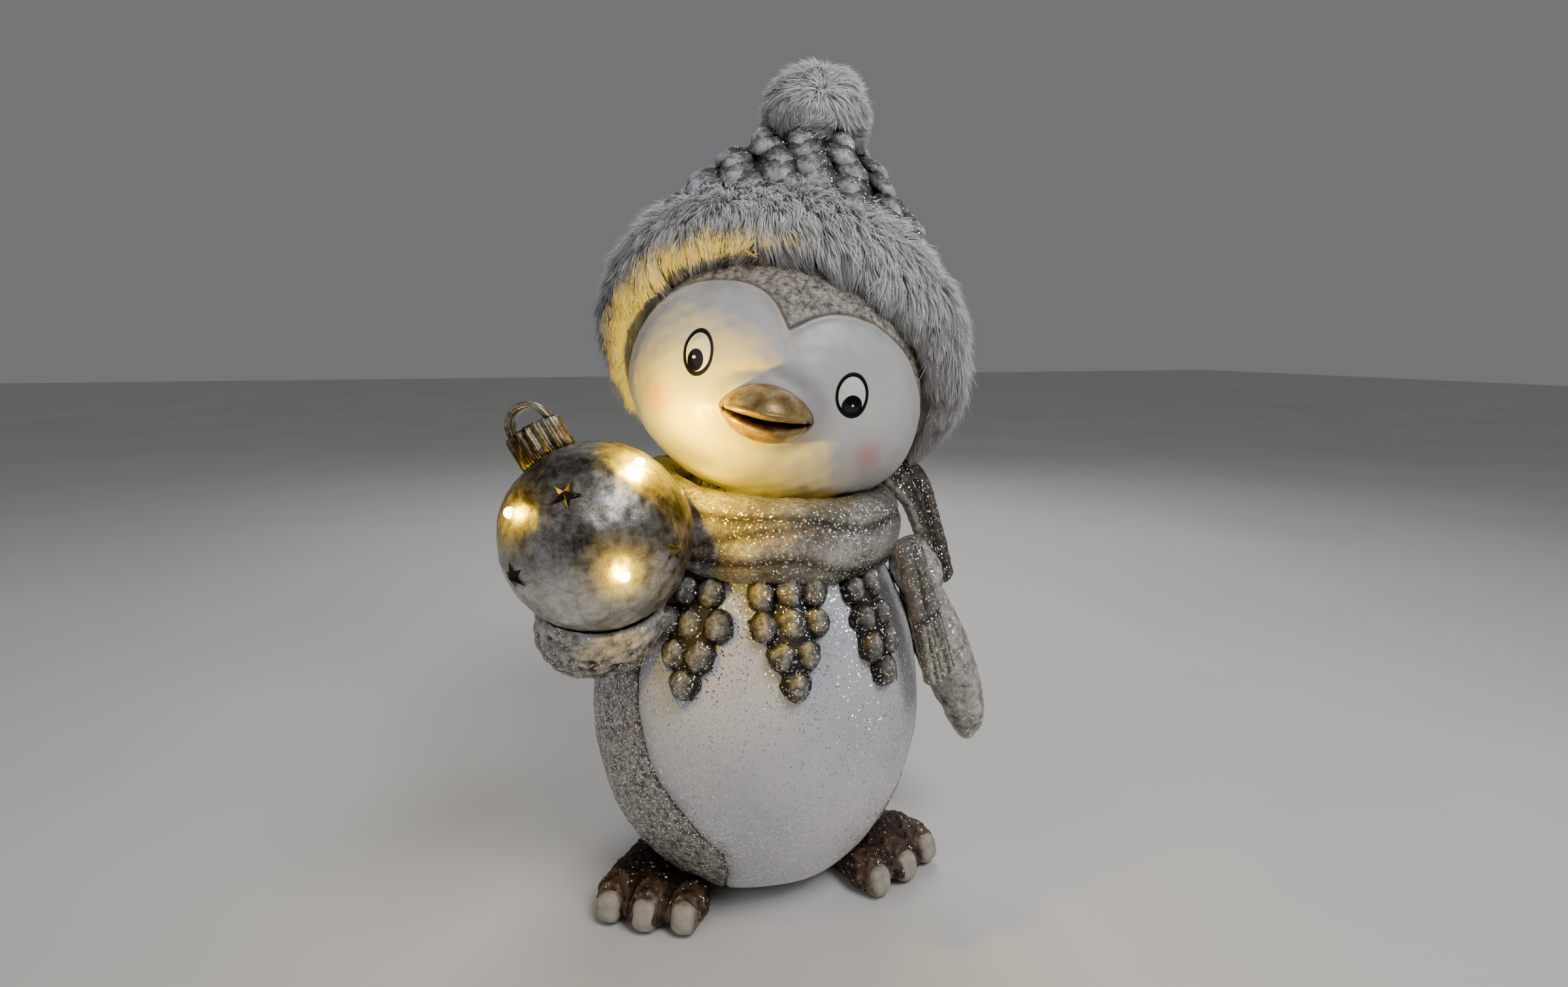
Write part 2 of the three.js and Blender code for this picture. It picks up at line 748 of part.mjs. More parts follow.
// A five-point star raised to a low point in its middle.
function buildStar(turn, rise) {
  const cone = new THREE.ConeGeometry(1, 1, 10).rotateX(Math.PI / 2);
  reshape(cone, (p) => {
    const spread = Math.hypot(p.x, p.y);
    const tip = Math.round((Math.atan2(p.x, -p.y) / Math.PI) * 5) % 2 === 0;
    const factor = spread > 0.5 ? star.radius * (tip ? 1 : star.waist) : 0;
    const height = p.z > 0 ? star.height : -star.sink;
    return new THREE.Vector3(p.x * factor, p.y * factor, bauble.radius + height);
  });
  return cut(solid(cone, alongFrame(baubleCentre, direction(turn, rise))), [baubleOuter(gap)]);
}

// A small dome on a stem, set in a hole through the bauble's wall.
function ledProfile() {
  const base = bauble.radius + led.showing - led.domeRadius;
  const profile = [new THREE.Vector2(0, base - led.stemLength)];
  profile.push(new THREE.Vector2(led.stemRadius, base - led.stemLength));
  profile.push(new THREE.Vector2(led.stemRadius, base - led.rimDepth));
  profile.push(new THREE.Vector2(led.domeRadius, base - led.rimDepth));
  const arcSteps = 3;
  for (let i = 0; i <= arcSteps; i += 1) {
    const angle = (i / arcSteps) * (Math.PI / 2);
    const across = i === arcSteps ? 0 : led.domeRadius * Math.cos(angle);
    profile.push(new THREE.Vector2(across, base + led.domeRadius * Math.sin(angle)));
  }
  return profile;
}

function buildLed(turn, rise) {
  const dome = new THREE.LatheGeometry(ledProfile(), 10).rotateX(Math.PI / 2);
  return solid(dome, alongFrame(baubleCentre, direction(turn, rise)));
}

function ledHole(turn, rise) {
  const radius = led.domeRadius + led.clearance;
  const drill = new THREE.CylinderGeometry(radius, radius, 4 * bauble.wall + past, 12);
  drill.rotateX(Math.PI / 2).translate(0, 0, bauble.radius);
  return solid(drill, alongFrame(baubleCentre, direction(turn, rise)));
}

// ---- battery box in the base

const pocket = {
  length: boxOuter.length - 2 * box.wall,
  width: boxOuter.width - 2 * box.wall,
  top: boxOuter.top - box.wall,
};
const flangeTop = box.lift + box.flangeThick;
const slotLength = slider.knobLength + slider.travel + 2 * gap;
const slotWidth = slider.knobWidth + 2 * gap;
const knobStart = -slider.travel / 2;
const switchOut = boxOuter.width / 2 + switchCase.beyondBox;

function spanBlock(low, high) {
  const size = low.map((value, i) => high[i] - value);
  const centre = low.map((value, i) => (value + high[i]) / 2);
  return block(size, centre);
}

function buildBatteryBox() {
  const radius = body.baseRadius - port.wall - gap;
  const flange = rod(radius, box.flangeThick, [0, 0, box.lift + box.flangeThick / 2], [0, 0, 0], 28);
  const rim = flange.scale([1, body.depthRatio, 1]);
  const half = [boxOuter.length / 2, boxOuter.width / 2];
  const walls = spanBlock([-half[0], -half[1], box.lift], [half[0], half[1], boxOuter.top]);
  const room = spanBlock(
    [-pocket.length / 2, -pocket.width / 2, box.lift - past],
    [pocket.length / 2, pocket.width / 2, pocket.top],
  );
  const slot = block([slotLength, slotWidth, 3 * box.flangeThick], [0, switchOut, box.lift]);
  return cut(rim.add(walls), [room, slot]);
}

const hingeX = -pocket.length / 2 + door.clearance + door.barrelRadius;
const hingeZ = box.lift + box.lidThick / 2;

function buildDoor() {
  const halfWidth = pocket.width / 2 - door.clearance;
  const plate = spanBlock(
    [hingeX, -halfWidth, box.lift],
    [pocket.length / 2 - door.clearance, halfWidth, box.lift + box.lidThick],
  );
  const barrel = rod(door.barrelRadius, 2 * halfWidth, [hingeX, 0, hingeZ], [90, 0, 0], 12);
  const notchAt = [pocket.length / 2 - door.notchInset, 0, box.lift];
  const notch = rod(door.notchRadius, 2 * door.notchDepth, notchAt, [0, 0, 0], 14);
  return barrel.add(plate).subtract(notch);
}

const cellHeight = box.lift + box.lidThick + box.cellRoom + cell.radius;
const cellStart = -pocket.length / 2 + box.plateRoom;

function buildCell(row) {
  const flip = row % 2 ? -1 : 1;
  const middle = cellStart + cell.length / 2;
  const can = rod(cell.radius, cell.length - cell.nubLength, [0, 0, -cell.nubLength / 2], [0, 0, 0], 14);
  const nubLength = cell.nubLength + past;
  const nub = rod(cell.nubRadius, nubLength, [0, 0, (cell.length - nubLength) / 2], [0, 0, 0], 8);
  const place = matrix([middle, (row - 1) * cellPitch, cellHeight], [0, flip * 90, 0]);
  return can.add(nub).transform(place.toArray());
}

// A strip of contacts across the pocket's end: plate, then one boss for each cell.
function buildContacts(end) {
  const wallX = (end * pocket.length) / 2;
  const near = wallX - end * gap;
  const far = near - end * contact.thick;
  const half = pocket.width / 2 - 2 * gap;
  const low = cellHeight - contact.height / 2;
  const high = low + contact.height;
  const plate = spanBlock([Math.min(near, far), -half, low], [Math.max(near, far), half, high]);
  const cellEnd = end < 0 ? cellStart : cellStart + cell.length;
  const reach = Math.abs(cellEnd - far) - gap;
  const bosses = [-1, 0, 1].map((row) => {
    const tipRadius = end < 0 ? contact.bumpRadius : contact.springTip;
    const rootRadius = end < 0 ? contact.bumpRadius : contact.springRadius;
    const boss = new THREE.CylinderGeometry(tipRadius, rootRadius, reach + contact.thick / 2, 8);
    boss.translate(0, (reach + contact.thick / 2) / 2, 0).rotateZ((end * Math.PI) / 2);
    return solid(boss, matrix([far + (end * contact.thick) / 2, row * cellPitch, cellHeight]));
  });
  return joined([plate, ...bosses]);
}

function buildSwitchCase() {
  const low = flangeTop + gap;
  const half = [switchCase.length / 2, switchCase.width / 2];
  const outer = spanBlock(
    [-half[0], switchOut - half[1], low],
    [half[0], switchOut + half[1], low + switchCase.height],
  );
  const roomHalf = [half[0] - switchCase.wall, half[1] - switchCase.wall];
  const room = spanBlock(
    [-roomHalf[0], switchOut - roomHalf[1], low - past],
    [roomHalf[0], switchOut + roomHalf[1], low + switchCase.height - switchCase.wall],
  );
  return outer.subtract(room);
}

function buildSlider() {
  const knob = spanBlock(
    [knobStart - slider.knobLength / 2, switchOut - slider.knobWidth / 2, box.lift - slider.knobShowing],
    [knobStart + slider.knobLength / 2, switchOut + slider.knobWidth / 2, flangeTop + 2 * gap],
  );
  const base = spanBlock(
    [knobStart - slider.baseLength / 2, switchOut - slider.baseWidth / 2, flangeTop + gap],
    [
      knobStart + slider.baseLength / 2,
      switchOut + slider.baseWidth / 2,
      flangeTop + gap + slider.baseHeight,
    ],
  );
  return knob.add(base);
}

function buildBoard() {
  const low = boxOuter.top + gap;
  const half = [board.length / 2, board.width / 2];
  return spanBlock([-half[0], -half[1], low], [half[0], half[1], low + board.thick]);
}

// ---------------------------------------------------------------- assembly

add("body_shell", buildBody(), materials.glitterWhite);
add("head_shell", buildHead(), materials.faceWhite);
add("beak", buildBeak(), materials.beakGold);
add("hat_shell", buildHat(), materials.coneGrey);
add("fur_brim", buildBrim(), materials.whiteFur);
add("pompom", buildPompom(), materials.whiteFur);
add("scarf_collar", buildCollar(), materials.taupe);
add("scarf_front_tail", buildTail(), materials.taupe);
add("scarf_back_flap", buildFlap(), materials.umber);
for (const [side, pendant] of Object.entries(pendants)) {
  add(`pendant_${side}`, buildPendant(pendant), materials.coneGrey);
}
add("raised_wing", buildRaisedWing(), materials.speckledGrey);
add("hanging_wing", buildHangingWing(), materials.speckledGrey);
add("right_foot", buildFoot(-1), materials.umber);
add("left_foot", buildFoot(1), materials.umber);
add("bauble_shell", buildBaubleShell(ledDirections.map((d) => ledHole(...d))), materials.silverLeaf);
add("bauble_cap", buildCap(), materials.silverLeaf);
add("bauble_loop", buildLoop(), materials.silverLeaf);
starDirections.forEach((d, i) => add(`star_${i + 1}`, buildStar(...d), materials.silverLeaf));
ledDirections.forEach((d, i) => add(`led_${i + 1}`, buildLed(...d), materials.warmLed));
add("led_lead", solid(tube(leadRoute(), lead.radius, 6, 60)), materials.leadWire);
add("battery_box", buildBatteryBox(), materials.blackPlastic);
add("battery_door", buildDoor(), materials.blackPlastic);
[0, 1, 2].forEach((row) => add(`cell_${row + 1}`, buildCell(row), materials.cellSleeve));
add("button_contacts", buildContacts(-1), materials.steel);
add("spring_contacts", buildContacts(1), materials.steel);
add("driver_board", buildBoard(), materials.boardGreen);
add("switch_case", buildSwitchCase(), materials.blackPlastic);
add("switch_slider", buildSlider(), materials.blackPlastic);

const figurine = new THREE.Group();
pieces.forEach((piece) => figurine.add(piece));

// The origin is under the middle of the whole figurine's box, on the surface that it stands on.
const extent = new THREE.Box3().setFromObject(figurine);
const middle = extent.getCenter(new THREE.Vector3());
figurine.position.set(-middle.x, -middle.y, -extent.min.z);
figurine.updateMatrixWorld(true);

export default figurine;
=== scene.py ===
# %% [markdown]
# # A cast winter penguin with a lit bauble
# This lesson dresses a finished CAD model of a figurine. The frame holds every rigid part at its true size,
# so each piece made here starts from a size in that frame and replaces one plain solid.

import json
import math

import bpy
import numpy as np
from mathutils import Euler, Matrix, Vector

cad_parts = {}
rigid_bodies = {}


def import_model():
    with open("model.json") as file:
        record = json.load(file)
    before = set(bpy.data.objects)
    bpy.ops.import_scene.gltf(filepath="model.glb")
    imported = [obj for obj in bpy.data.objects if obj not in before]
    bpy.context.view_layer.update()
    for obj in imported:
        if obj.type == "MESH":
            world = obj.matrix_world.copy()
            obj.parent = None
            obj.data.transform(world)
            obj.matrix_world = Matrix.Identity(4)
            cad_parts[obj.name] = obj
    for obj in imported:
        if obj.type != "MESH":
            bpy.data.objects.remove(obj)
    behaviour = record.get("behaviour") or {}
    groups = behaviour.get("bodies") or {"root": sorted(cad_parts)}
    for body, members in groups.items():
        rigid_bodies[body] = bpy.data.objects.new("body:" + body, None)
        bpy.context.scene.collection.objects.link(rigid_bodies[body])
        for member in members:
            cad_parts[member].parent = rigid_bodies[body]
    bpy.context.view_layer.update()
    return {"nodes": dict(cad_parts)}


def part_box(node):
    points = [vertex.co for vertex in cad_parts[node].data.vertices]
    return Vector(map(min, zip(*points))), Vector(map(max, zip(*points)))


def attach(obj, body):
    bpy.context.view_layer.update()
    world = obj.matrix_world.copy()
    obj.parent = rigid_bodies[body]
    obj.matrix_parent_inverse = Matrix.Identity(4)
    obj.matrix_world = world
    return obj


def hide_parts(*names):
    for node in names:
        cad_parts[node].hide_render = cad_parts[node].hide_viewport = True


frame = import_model()

# %% [markdown]
# ## Working in millimetres round the body's own axis
# The frame's origin is under the middle of the whole figurine. The body is a solid of revolution, so
# everything is easier to describe from the body's axis. One function moves millimetres there into metres
# here.

# %% The body's axis
MM = 0.001
body_low, body_high = [Vector(corner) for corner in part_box("body_shell")]
AXIS = np.array([(body_low.x + body_high.x) / 2, (body_low.y + body_high.y) / 2, 0.0])


def metres(points_mm):
    return np.asarray(points_mm, float) * MM + AXIS


print("body axis at", AXIS)

# %% [markdown]
# ## Mesh helpers
# A casting's skin is a grid of points wrapped round a shape. One helper turns a closed grid into a mesh,
# with a fan at each pole, so there is no seam and no hole. Extra numbers per point, such as a distance to a
# painted edge, travel with the mesh as attributes that a material can read.

# %% Mesh helpers
def outward(points, faces):
    """The same faces, turned round if together they enclose a negative volume."""
    volume = 0.0
    for size in {len(face) for face in faces}:
        corners = points[np.array([face for face in faces if len(face) == size])]
        for i in range(1, size - 1):
            volume += np.einsum("ij,ij->", corners[:, 0], np.cross(corners[:, i], corners[:, i + 1]))
    return faces if volume > 0 else [face[::-1] for face in faces]


def make_piece(name, points_mm, faces, material, values=None, smooth=True):
    points_mm = np.asarray(points_mm, float)
    mesh = bpy.data.meshes.new(name)
    mesh.from_pydata(metres(points_mm).tolist(), [], outward(points_mm, faces))
    for key, numbers in (values or {}).items():
        layer = mesh.attributes.new(key, "FLOAT", "POINT")
        layer.data.foreach_set("value", np.asarray(numbers, np.float32).ravel())
    mesh.polygons.foreach_set("use_smooth", [smooth] * len(mesh.polygons))
    mesh.materials.append(material)
    mesh.update()
    piece = bpy.data.objects.new(name, mesh)
    bpy.context.scene.collection.objects.link(piece)
    return piece


def wrapped_faces(rows, columns):
    """Faces of a closed skin: a first pole, rows of columns points, and a last pole."""
    faces = []
    for j in range(columns):
        k = (j + 1) % columns
        faces.append((0, 1 + k, 1 + j))
        base = 1 + (rows - 1) * columns
        faces.append((base + j, base + k, 1 + rows * columns))
    for i in range(rows - 1):
        a, b = 1 + i * columns, 1 + (i + 1) * columns
        for j in range(columns):
            k = (j + 1) % columns
            faces.append((a + j, a + k, b + k, b + j))
    return faces


def ring_faces(rows, columns):
    """Faces of a closed ring: both ways round join up."""
    faces = []
    for i in range(rows):
        n = (i + 1) % rows
        for j in range(columns):
            k = (j + 1) % columns
            faces.append((i * columns + j, i * columns + k, n * columns + k, n * columns + j))
    return faces


def ball_points(rows, columns):
    """A unit ball as rings of points from the top pole to the bottom one."""
    rises = np.linspace(math.pi / 2, -math.pi / 2, rows + 2)[1:-1]
    turns = np.linspace(0, 2 * math.pi, columns, endpoint=False)
    e, t = np.meshgrid(rises, turns, indexing="ij")
    ball = np.stack([np.cos(e) * np.cos(t), np.cos(e) * np.sin(t), np.sin(e)], axis=-1).reshape(-1, 3)
    return np.concatenate([[[0, 0, 1]], ball, [[0, 0, -1]]])


def smooth_step(low, high, x):
    t = np.clip((np.asarray(x, float) - low) / (high - low), 0, 1)
    return t * t * (3 - 2 * t)


def turned(x, y, z):
    """A rotation by x, then y, then z degrees, as a matrix."""
    return np.array(Euler((math.radians(x), math.radians(y), math.radians(z)), "XYZ").to_matrix())


class Ripples:
    """Smooth seeded bumps made of many plane waves, from about -1 to 1."""

    def __init__(self, size_mm, seed, waves=24):
        rng = np.random.default_rng(seed)
        way = rng.normal(size=(waves, 3))
        way /= np.linalg.norm(way, axis=1)[:, None]
        self.way = way * (2 * math.pi / size_mm) * rng.uniform(0.6, 1.5, (waves, 1))
        self.start = rng.uniform(0, 2 * math.pi, waves)
        self.scale = math.sqrt(2 / waves)

    def __call__(self, points):
        return np.sin(points @ self.way.T + self.start).sum(axis=-1) * self.scale / 1.6


print("helpers ready")

# %% [markdown]
# ## Material helpers
# Every colour below is written as the sRGB hex that a paint chart would give, and one function turns it to
# the linear numbers that the shader wants. One small function adds a node with its settings and its links.

# %% Material helpers
def linear(code):
    parts = [int(code[i:i + 2], 16) / 255 for i in (1, 3, 5)]
    return [c / 12.92 if c <= 0.04045 else ((c + 0.055) / 1.055) ** 2.4 for c in parts] + [1.0]


def new_material(name):
    material = bpy.data.materials.new(name)
    material.use_nodes = True
    material.node_tree.nodes.clear()
    return material, material.node_tree


def add(tree, kind, inputs=None, **settings):
    """Adds a node. Each input is a plain value, or another node's output socket to link from."""
    node = tree.nodes.new(kind)
    for key, value in settings.items():
        setattr(node, key, value)
    for key, value in (inputs or {}).items():
        socket = node.inputs[key]
        if isinstance(value, bpy.types.NodeSocket):
            tree.links.new(value, socket)
        else:
            socket.default_value = value
    return node


def stops(ramp_node, *pairs):
    """Sets a colour ramp's stops from (position, hex) pairs."""
    ramp = ramp_node.color_ramp
    while len(ramp.elements) > 1:
        ramp.elements.remove(ramp.elements[-1])
    for i, (position, code) in enumerate(pairs):
        element = ramp.elements[0] if i == 0 else ramp.elements.new(position)
        element.position = position
        element.color = linear(code)
    return ramp_node.outputs["Color"]


def per_mm(size_mm):
    """A texture scale, for Object coordinates in metres, whose pattern repeats about every size_mm."""
    return 1000.0 / size_mm


print("material helpers ready")

# %% [markdown]
# ## Camera, floor and light
# The figurine is seen from close by with a wide lens, a little from its right side and from above its
# middle. A wide pale floor, a dim even sky and three soft area lights are enough, because the finishes do
# the talking: a high key in front, a weak cool fill from the figure's right, and a light behind that picks
# out the edges. The small warm lights belong to the LEDs: each sits just off its dome and throws the glow
# on what is near.

# %% Camera
CAMERA_AT = (-81.85, -368.06, 275.0)
CAMERA_HEADING = 15.0
CAMERA_PITCH = 11.5
camera_data = bpy.data.cameras.new("camera")
camera_data.lens = 17.25
camera_data.sensor_width = 36.0
camera_data.shift_x = -0.002
camera_data.shift_y = 0.001
camera_data.clip_start = 0.01
camera = bpy.data.objects.new("camera", camera_data)
camera.location = metres(CAMERA_AT)
camera.rotation_euler = (math.radians(90 - CAMERA_PITCH), 0, math.radians(-CAMERA_HEADING))
bpy.context.scene.collection.objects.link(camera)
bpy.context.scene.camera = camera
print("camera at", [round(v, 4) for v in camera.location])

# %% Floor
FLOOR_HALF = 6.0
floor_mesh = bpy.data.meshes.new("floor")
corners = [(-FLOOR_HALF, -FLOOR_HALF, 0), (FLOOR_HALF, -FLOOR_HALF, 0)]
corners += [(FLOOR_HALF, FLOOR_HALF, 0), (-FLOOR_HALF, FLOOR_HALF, 0)]
floor_mesh.from_pydata(corners, [], [(0, 1, 2, 3)])
floor = bpy.data.objects.new("floor", floor_mesh)
bpy.context.scene.collection.objects.link(floor)
floor_paint, tree = new_material("matt_painted_board")
place = add(tree, "ShaderNodeTexCoord").outputs["Object"]
mottle = add(tree, "ShaderNodeTexNoise", {"Vector": place, "Scale": 3.0, "Detail": 3.0})
tone = stops(add(tree, "ShaderNodeValToRGB", {0: mottle.outputs[0]}), (0.3, "#CFCDC9"), (0.7, "#D8D6D2"))
board_shader = add(tree, "ShaderNodeBsdfPrincipled", {"Base Color": tone, "Roughness": 0.7})
add(tree, "ShaderNodeOutputMaterial", {0: board_shader.outputs[0]})
floor_mesh.materials.append(floor_paint)

# %% Studio light
SKY_STRENGTH = 0.42
world = bpy.data.worlds.new("studio")
bpy.context.scene.world = world
world.use_nodes = True
world.node_tree.nodes["Background"].inputs["Color"].default_value = linear("#DDDFE2")
world.node_tree.nodes["Background"].inputs["Strength"].default_value = SKY_STRENGTH

SOFT_BOXES = {
    "key": ((330, -620, 1050), 460, 12.5, "#FFFFFF"),
    "fill": ((-760, -460, 620), 700, 1.5, "#EEF3FF"),
    "back": ((300, 760, 900), 620, 9.0, "#FFFFFF"),
}
for name, (at, size, watts, code) in SOFT_BOXES.items():
    data = bpy.data.lights.new(name, "AREA")
    data.size = size * MM
    data.energy = watts
    data.color = linear(code)[:3]
    lamp = bpy.data.objects.new(name, data)
    lamp.location = metres(at)
    aim = Vector(metres((0, 0, 190))) - lamp.location
    lamp.rotation_euler = aim.to_track_quat("-Z", "Y").to_euler()
    bpy.context.scene.collection.objects.link(lamp)
bpy.context.scene.view_settings.look = "AgX - Punchy"
print("soft boxes:", sorted(SOFT_BOXES))

# %% [markdown]
# ## Where the main shapes are
# These sizes are the ones the frame was drawn with: the body's egg, the tilted head with its own axes, the
# ring of the brim, and the ball in the raised wing. Every piece below is worked out from them, in
# millimetres.

# %% Main shapes
BELLY_RADIUS, BELLY_HEIGHT, UPPER_HALF, BASE_RADIUS = 86.0, 88.0, 120.0, 42.0
DEPTH_RATIO, WALL, PORT_WALL = 0.94, 4.5, 4.4
ARCH_WIDTH, ARCH_HEIGHT = 56.0, 4.0
LOWER_HALF = BELLY_HEIGHT / math.sqrt(1 - (BASE_RADIUS / BELLY_RADIUS) ** 2)

HEAD_CENTRE = np.array([11.0, -3.0, 253.0])
HEAD_TURN = turned(0, 16, -17)
HEAD_WIDE, HEAD_DEEP, HEAD_UP, HEAD_DOWN = 72.5, 67.0, 66.0, 56.0

BRIM_LEAN = math.radians(32)
RING_ACROSS = np.array([1.0, 0, 0])
RING_UP = np.array([0, -math.sin(BRIM_LEAN), math.cos(BRIM_LEAN)])
RING_THROUGH = np.array([0, math.cos(BRIM_LEAN), math.sin(BRIM_LEAN)])
RING_CENTRE = np.array([-3.0, 19.4, 17.9])
RING_WIDE, RING_HIGH, BAND_HALF, PILE_HALF = 79.0, 68.0, 26.0, 14.0

HAT_TOP = np.array([28.0, 6.0, 366.0])
POMPOM_CENTRE = np.array([32.0, 4.0, 380.0])
POMPOM_RADIUS, POMPOM_HIGH = 25.0, 22.5

BALL_CENTRE = np.array([-79.6, -54.6, 196.0])
BALL_RADIUS = 40.0
LED_WAYS = [(-39, 55), (-153, 23), (-77, -10), (95, 5), (20, 18)]
CAP_WAY = (154, 59)


def head_place(local):
    return np.asarray(local, float) @ HEAD_TURN.T + HEAD_CENTRE


def way(turn, rise):
    a, e = math.radians(turn), math.radians(rise)
    return np.array([math.cos(e) * math.cos(a), math.cos(e) * math.sin(a), math.sin(e)])


def body_radius(height):
    offset = np.asarray(height, float) - BELLY_HEIGHT
    half = np.where(offset > 0, UPPER_HALF, LOWER_HALF)
    return BELLY_RADIUS * np.sqrt(np.clip(1 - (offset / half) ** 2, 0, 1))


def inside_head(points, grow):
    local = (points - HEAD_CENTRE) @ HEAD_TURN
    half_z = np.where(local[..., 2] > 0, HEAD_UP, HEAD_DOWN) + grow
    scaled = (local[..., 0] / (HEAD_WIDE + grow)) ** 2 + (local[..., 1] / (HEAD_DEEP + grow)) ** 2
    return scaled + (local[..., 2] / half_z) ** 2 < 1


print("lower half height", round(LOWER_HALF, 2), "mm")

# %% [markdown]
# ## Glitter
# The figurine is dusted with cut foil flakes held in clear lacquer. Each flake is a tiny flat mirror at its
# own tilt, so a few flash at a time. A Voronoi texture gives one cell for each flake: its random colour
# picks which cells hold a flake, tips the normal and tints it. The flakes are drawn about 0.65 mm wide, so
# that they still show from a metre away.

# %% Glitter
FLAKE_MM = 0.65


def glitter(tree, where, share, tint, normal, spread=0.9):
    """Returns the flakes' mask, their colour, and a normal that tips in each flake."""
    cells = add(tree, "ShaderNodeTexVoronoi", {"Vector": where, "Scale": per_mm(FLAKE_MM)})
    lot = add(tree, "ShaderNodeSeparateColor", {0: cells.outputs["Color"]})
    patchy = add(tree, "ShaderNodeTexNoise", {"Vector": where, "Scale": per_mm(38), "Detail": 2.0})
    local = add(tree, "ShaderNodeMath", {0: patchy.outputs[0], 1: 2 * share}, operation="MULTIPLY")
    mask = add(tree, "ShaderNodeMath", {0: lot.outputs[0], 1: local.outputs[0]}, operation="LESS_THAN")
    colour = add(tree, "ShaderNodeCombineColor", {0: lot.outputs[1], 1: tint, 2: 1.0}, mode="HSV")
    tip = add(tree, "ShaderNodeVectorMath", {0: cells.outputs["Color"], 1: (0.5,) * 3}, operation="SUBTRACT")
    size = add(tree, "ShaderNodeMath", {0: mask.outputs[0], 1: spread}, operation="MULTIPLY")
    tipped = add(tree, "ShaderNodeVectorMath", {0: tip.outputs[0]}, operation="SCALE")
    tree.links.new(size.outputs[0], tipped.inputs["Scale"])
    summed = add(tree, "ShaderNodeVectorMath", {0: normal, 1: tipped.outputs[0]}, operation="ADD")
    unit = add(tree, "ShaderNodeVectorMath", {0: summed.outputs[0]}, operation="NORMALIZE")
    return mask.outputs[0], colour.outputs[0], unit.outputs[0]


def lacquered(tree, where, colour, height, roughness, share, tint=0.12, bump_mm=0.3):
    """A painted casting under lacquer with flakes: paint colour, bump height and roughness come in."""
    bump = add(tree, "ShaderNodeBump", {"Height": height, "Distance": bump_mm * MM, "Strength": 1.0})
    mask, flake, normal = glitter(tree, where, share, tint, bump.outputs[0])
    skin = add(tree, "ShaderNodeMix", {0: mask, 6: colour, 7: flake}, data_type="RGBA")
    gloss = add(tree, "ShaderNodeMapRange", {0: mask, 3: roughness, 4: 0.22})
    shader = add(tree, "ShaderNodeBsdfPrincipled", {
        "Base Color": skin.outputs[2], "Roughness": gloss.outputs[0], "Metallic": mask, "Normal": normal,
    })
    add(tree, "ShaderNodeOutputMaterial", {0: shader.outputs[0]})
    return shader


print("flake width", FLAKE_MM, "mm")

# %% [markdown]
# ## The body: glittered cast stone
# The body is poured in a rubber mould from magnesia cement, sanded, sprayed white and dusted with glitter.
# Its flanks and back were dabbed with grey and black paint through a coarse sponge, which leaves small dark
# specks. The egg is a turned shape, so it is made as a grid: fine enough that the incised line round the
# belly is real geometry. How far each point lies from that line travels along as an attribute, so the paint
# meets it exactly.

# %% Material: glittered cast stone
body_paint, tree = new_material("glittered_cast_stone")
place = add(tree, "ShaderNodeTexCoord").outputs["Object"]
edge = add(tree, "ShaderNodeAttribute", attribute_name="belly").outputs["Fac"]
soft = add(tree, "ShaderNodeTexNoise", {"Vector": place, "Scale": per_mm(60), "Detail": 3.0})
snow = stops(
    add(tree, "ShaderNodeValToRGB", {0: soft.outputs[0]}), (0.3, "#BDBEC9"), (0.52, "#D0D0D7"),
    (0.72, "#DCDBDD"),
)
fine = add(
    tree, "ShaderNodeTexNoise", {"Vector": place, "Scale": per_mm(2.2), "Detail": 3.0, "Roughness": 0.6},
)
dust = stops(add(tree, "ShaderNodeValToRGB", {0: fine.outputs[0]}), (0.56, "#000000"), (0.72, "#8C8C8C"))
dusty = add(tree, "ShaderNodeMix", {0: dust, 6: snow, 7: linear("#9B9894")}, data_type="RGBA")
sponge = add(
    tree, "ShaderNodeTexNoise", {"Vector": place, "Scale": per_mm(3.4), "Detail": 5.0, "Roughness": 0.72},
)
grey = stops(
    add(tree, "ShaderNodeValToRGB", {0: sponge.outputs[0]}),
    (0.36, "#3A3734"), (0.44, "#75716C"), (0.54, "#A09C96"), (0.68, "#C6C3BD"),
)
flank = add(tree, "ShaderNodeMapRange", {0: edge, 1: -0.2, 2: 1.2, 3: 1.0, 4: 0.0})
zones = add(tree, "ShaderNodeMix", {0: flank.outputs[0], 6: dusty.outputs[2], 7: grey}, data_type="RGBA")
# Painted shade: near the incised belly line the colour darkens towards #3A3633, strongly in the groove and faintly
# over the 9 mm round it.
offset = add(tree, "ShaderNodeMath", {0: edge}, operation="ABSOLUTE")
line = add(tree, "ShaderNodeMapRange", {0: offset.outputs[0], 1: 0.25, 2: 1.5, 3: 0.9, 4: 0.0})
shade = add(tree, "ShaderNodeMapRange", {0: offset.outputs[0], 1: 0.0, 2: 9.0, 3: 0.35, 4: 0.0})
groove_shade = add(tree, "ShaderNodeMath", {0: line.outputs[0], 1: shade.outputs[0]}, operation="MAXIMUM")
skin = add(
    tree, "ShaderNodeMix", {0: groove_shade.outputs[0], 6: zones.outputs[2], 7: linear("#3A3633")}, data_type="RGBA",
)
lacquered(tree, place, skin.outputs[2], sponge.outputs[0], 0.55, 0.16, tint=0.16, bump_mm=0.35)

# %% The body's surface
BELLY_TURN = math.radians(9)
BELLY_EDGE = [
    (0, 41), (30, 33), (45, 33), (56, 40), (68, 46), (82, 53), (95, 57), (113, 61), (130, 63), (160, 61), (210, 49),
]
BODY_COLUMNS, BODY_ROWS, INNER_ROWS = 360, 214, 14


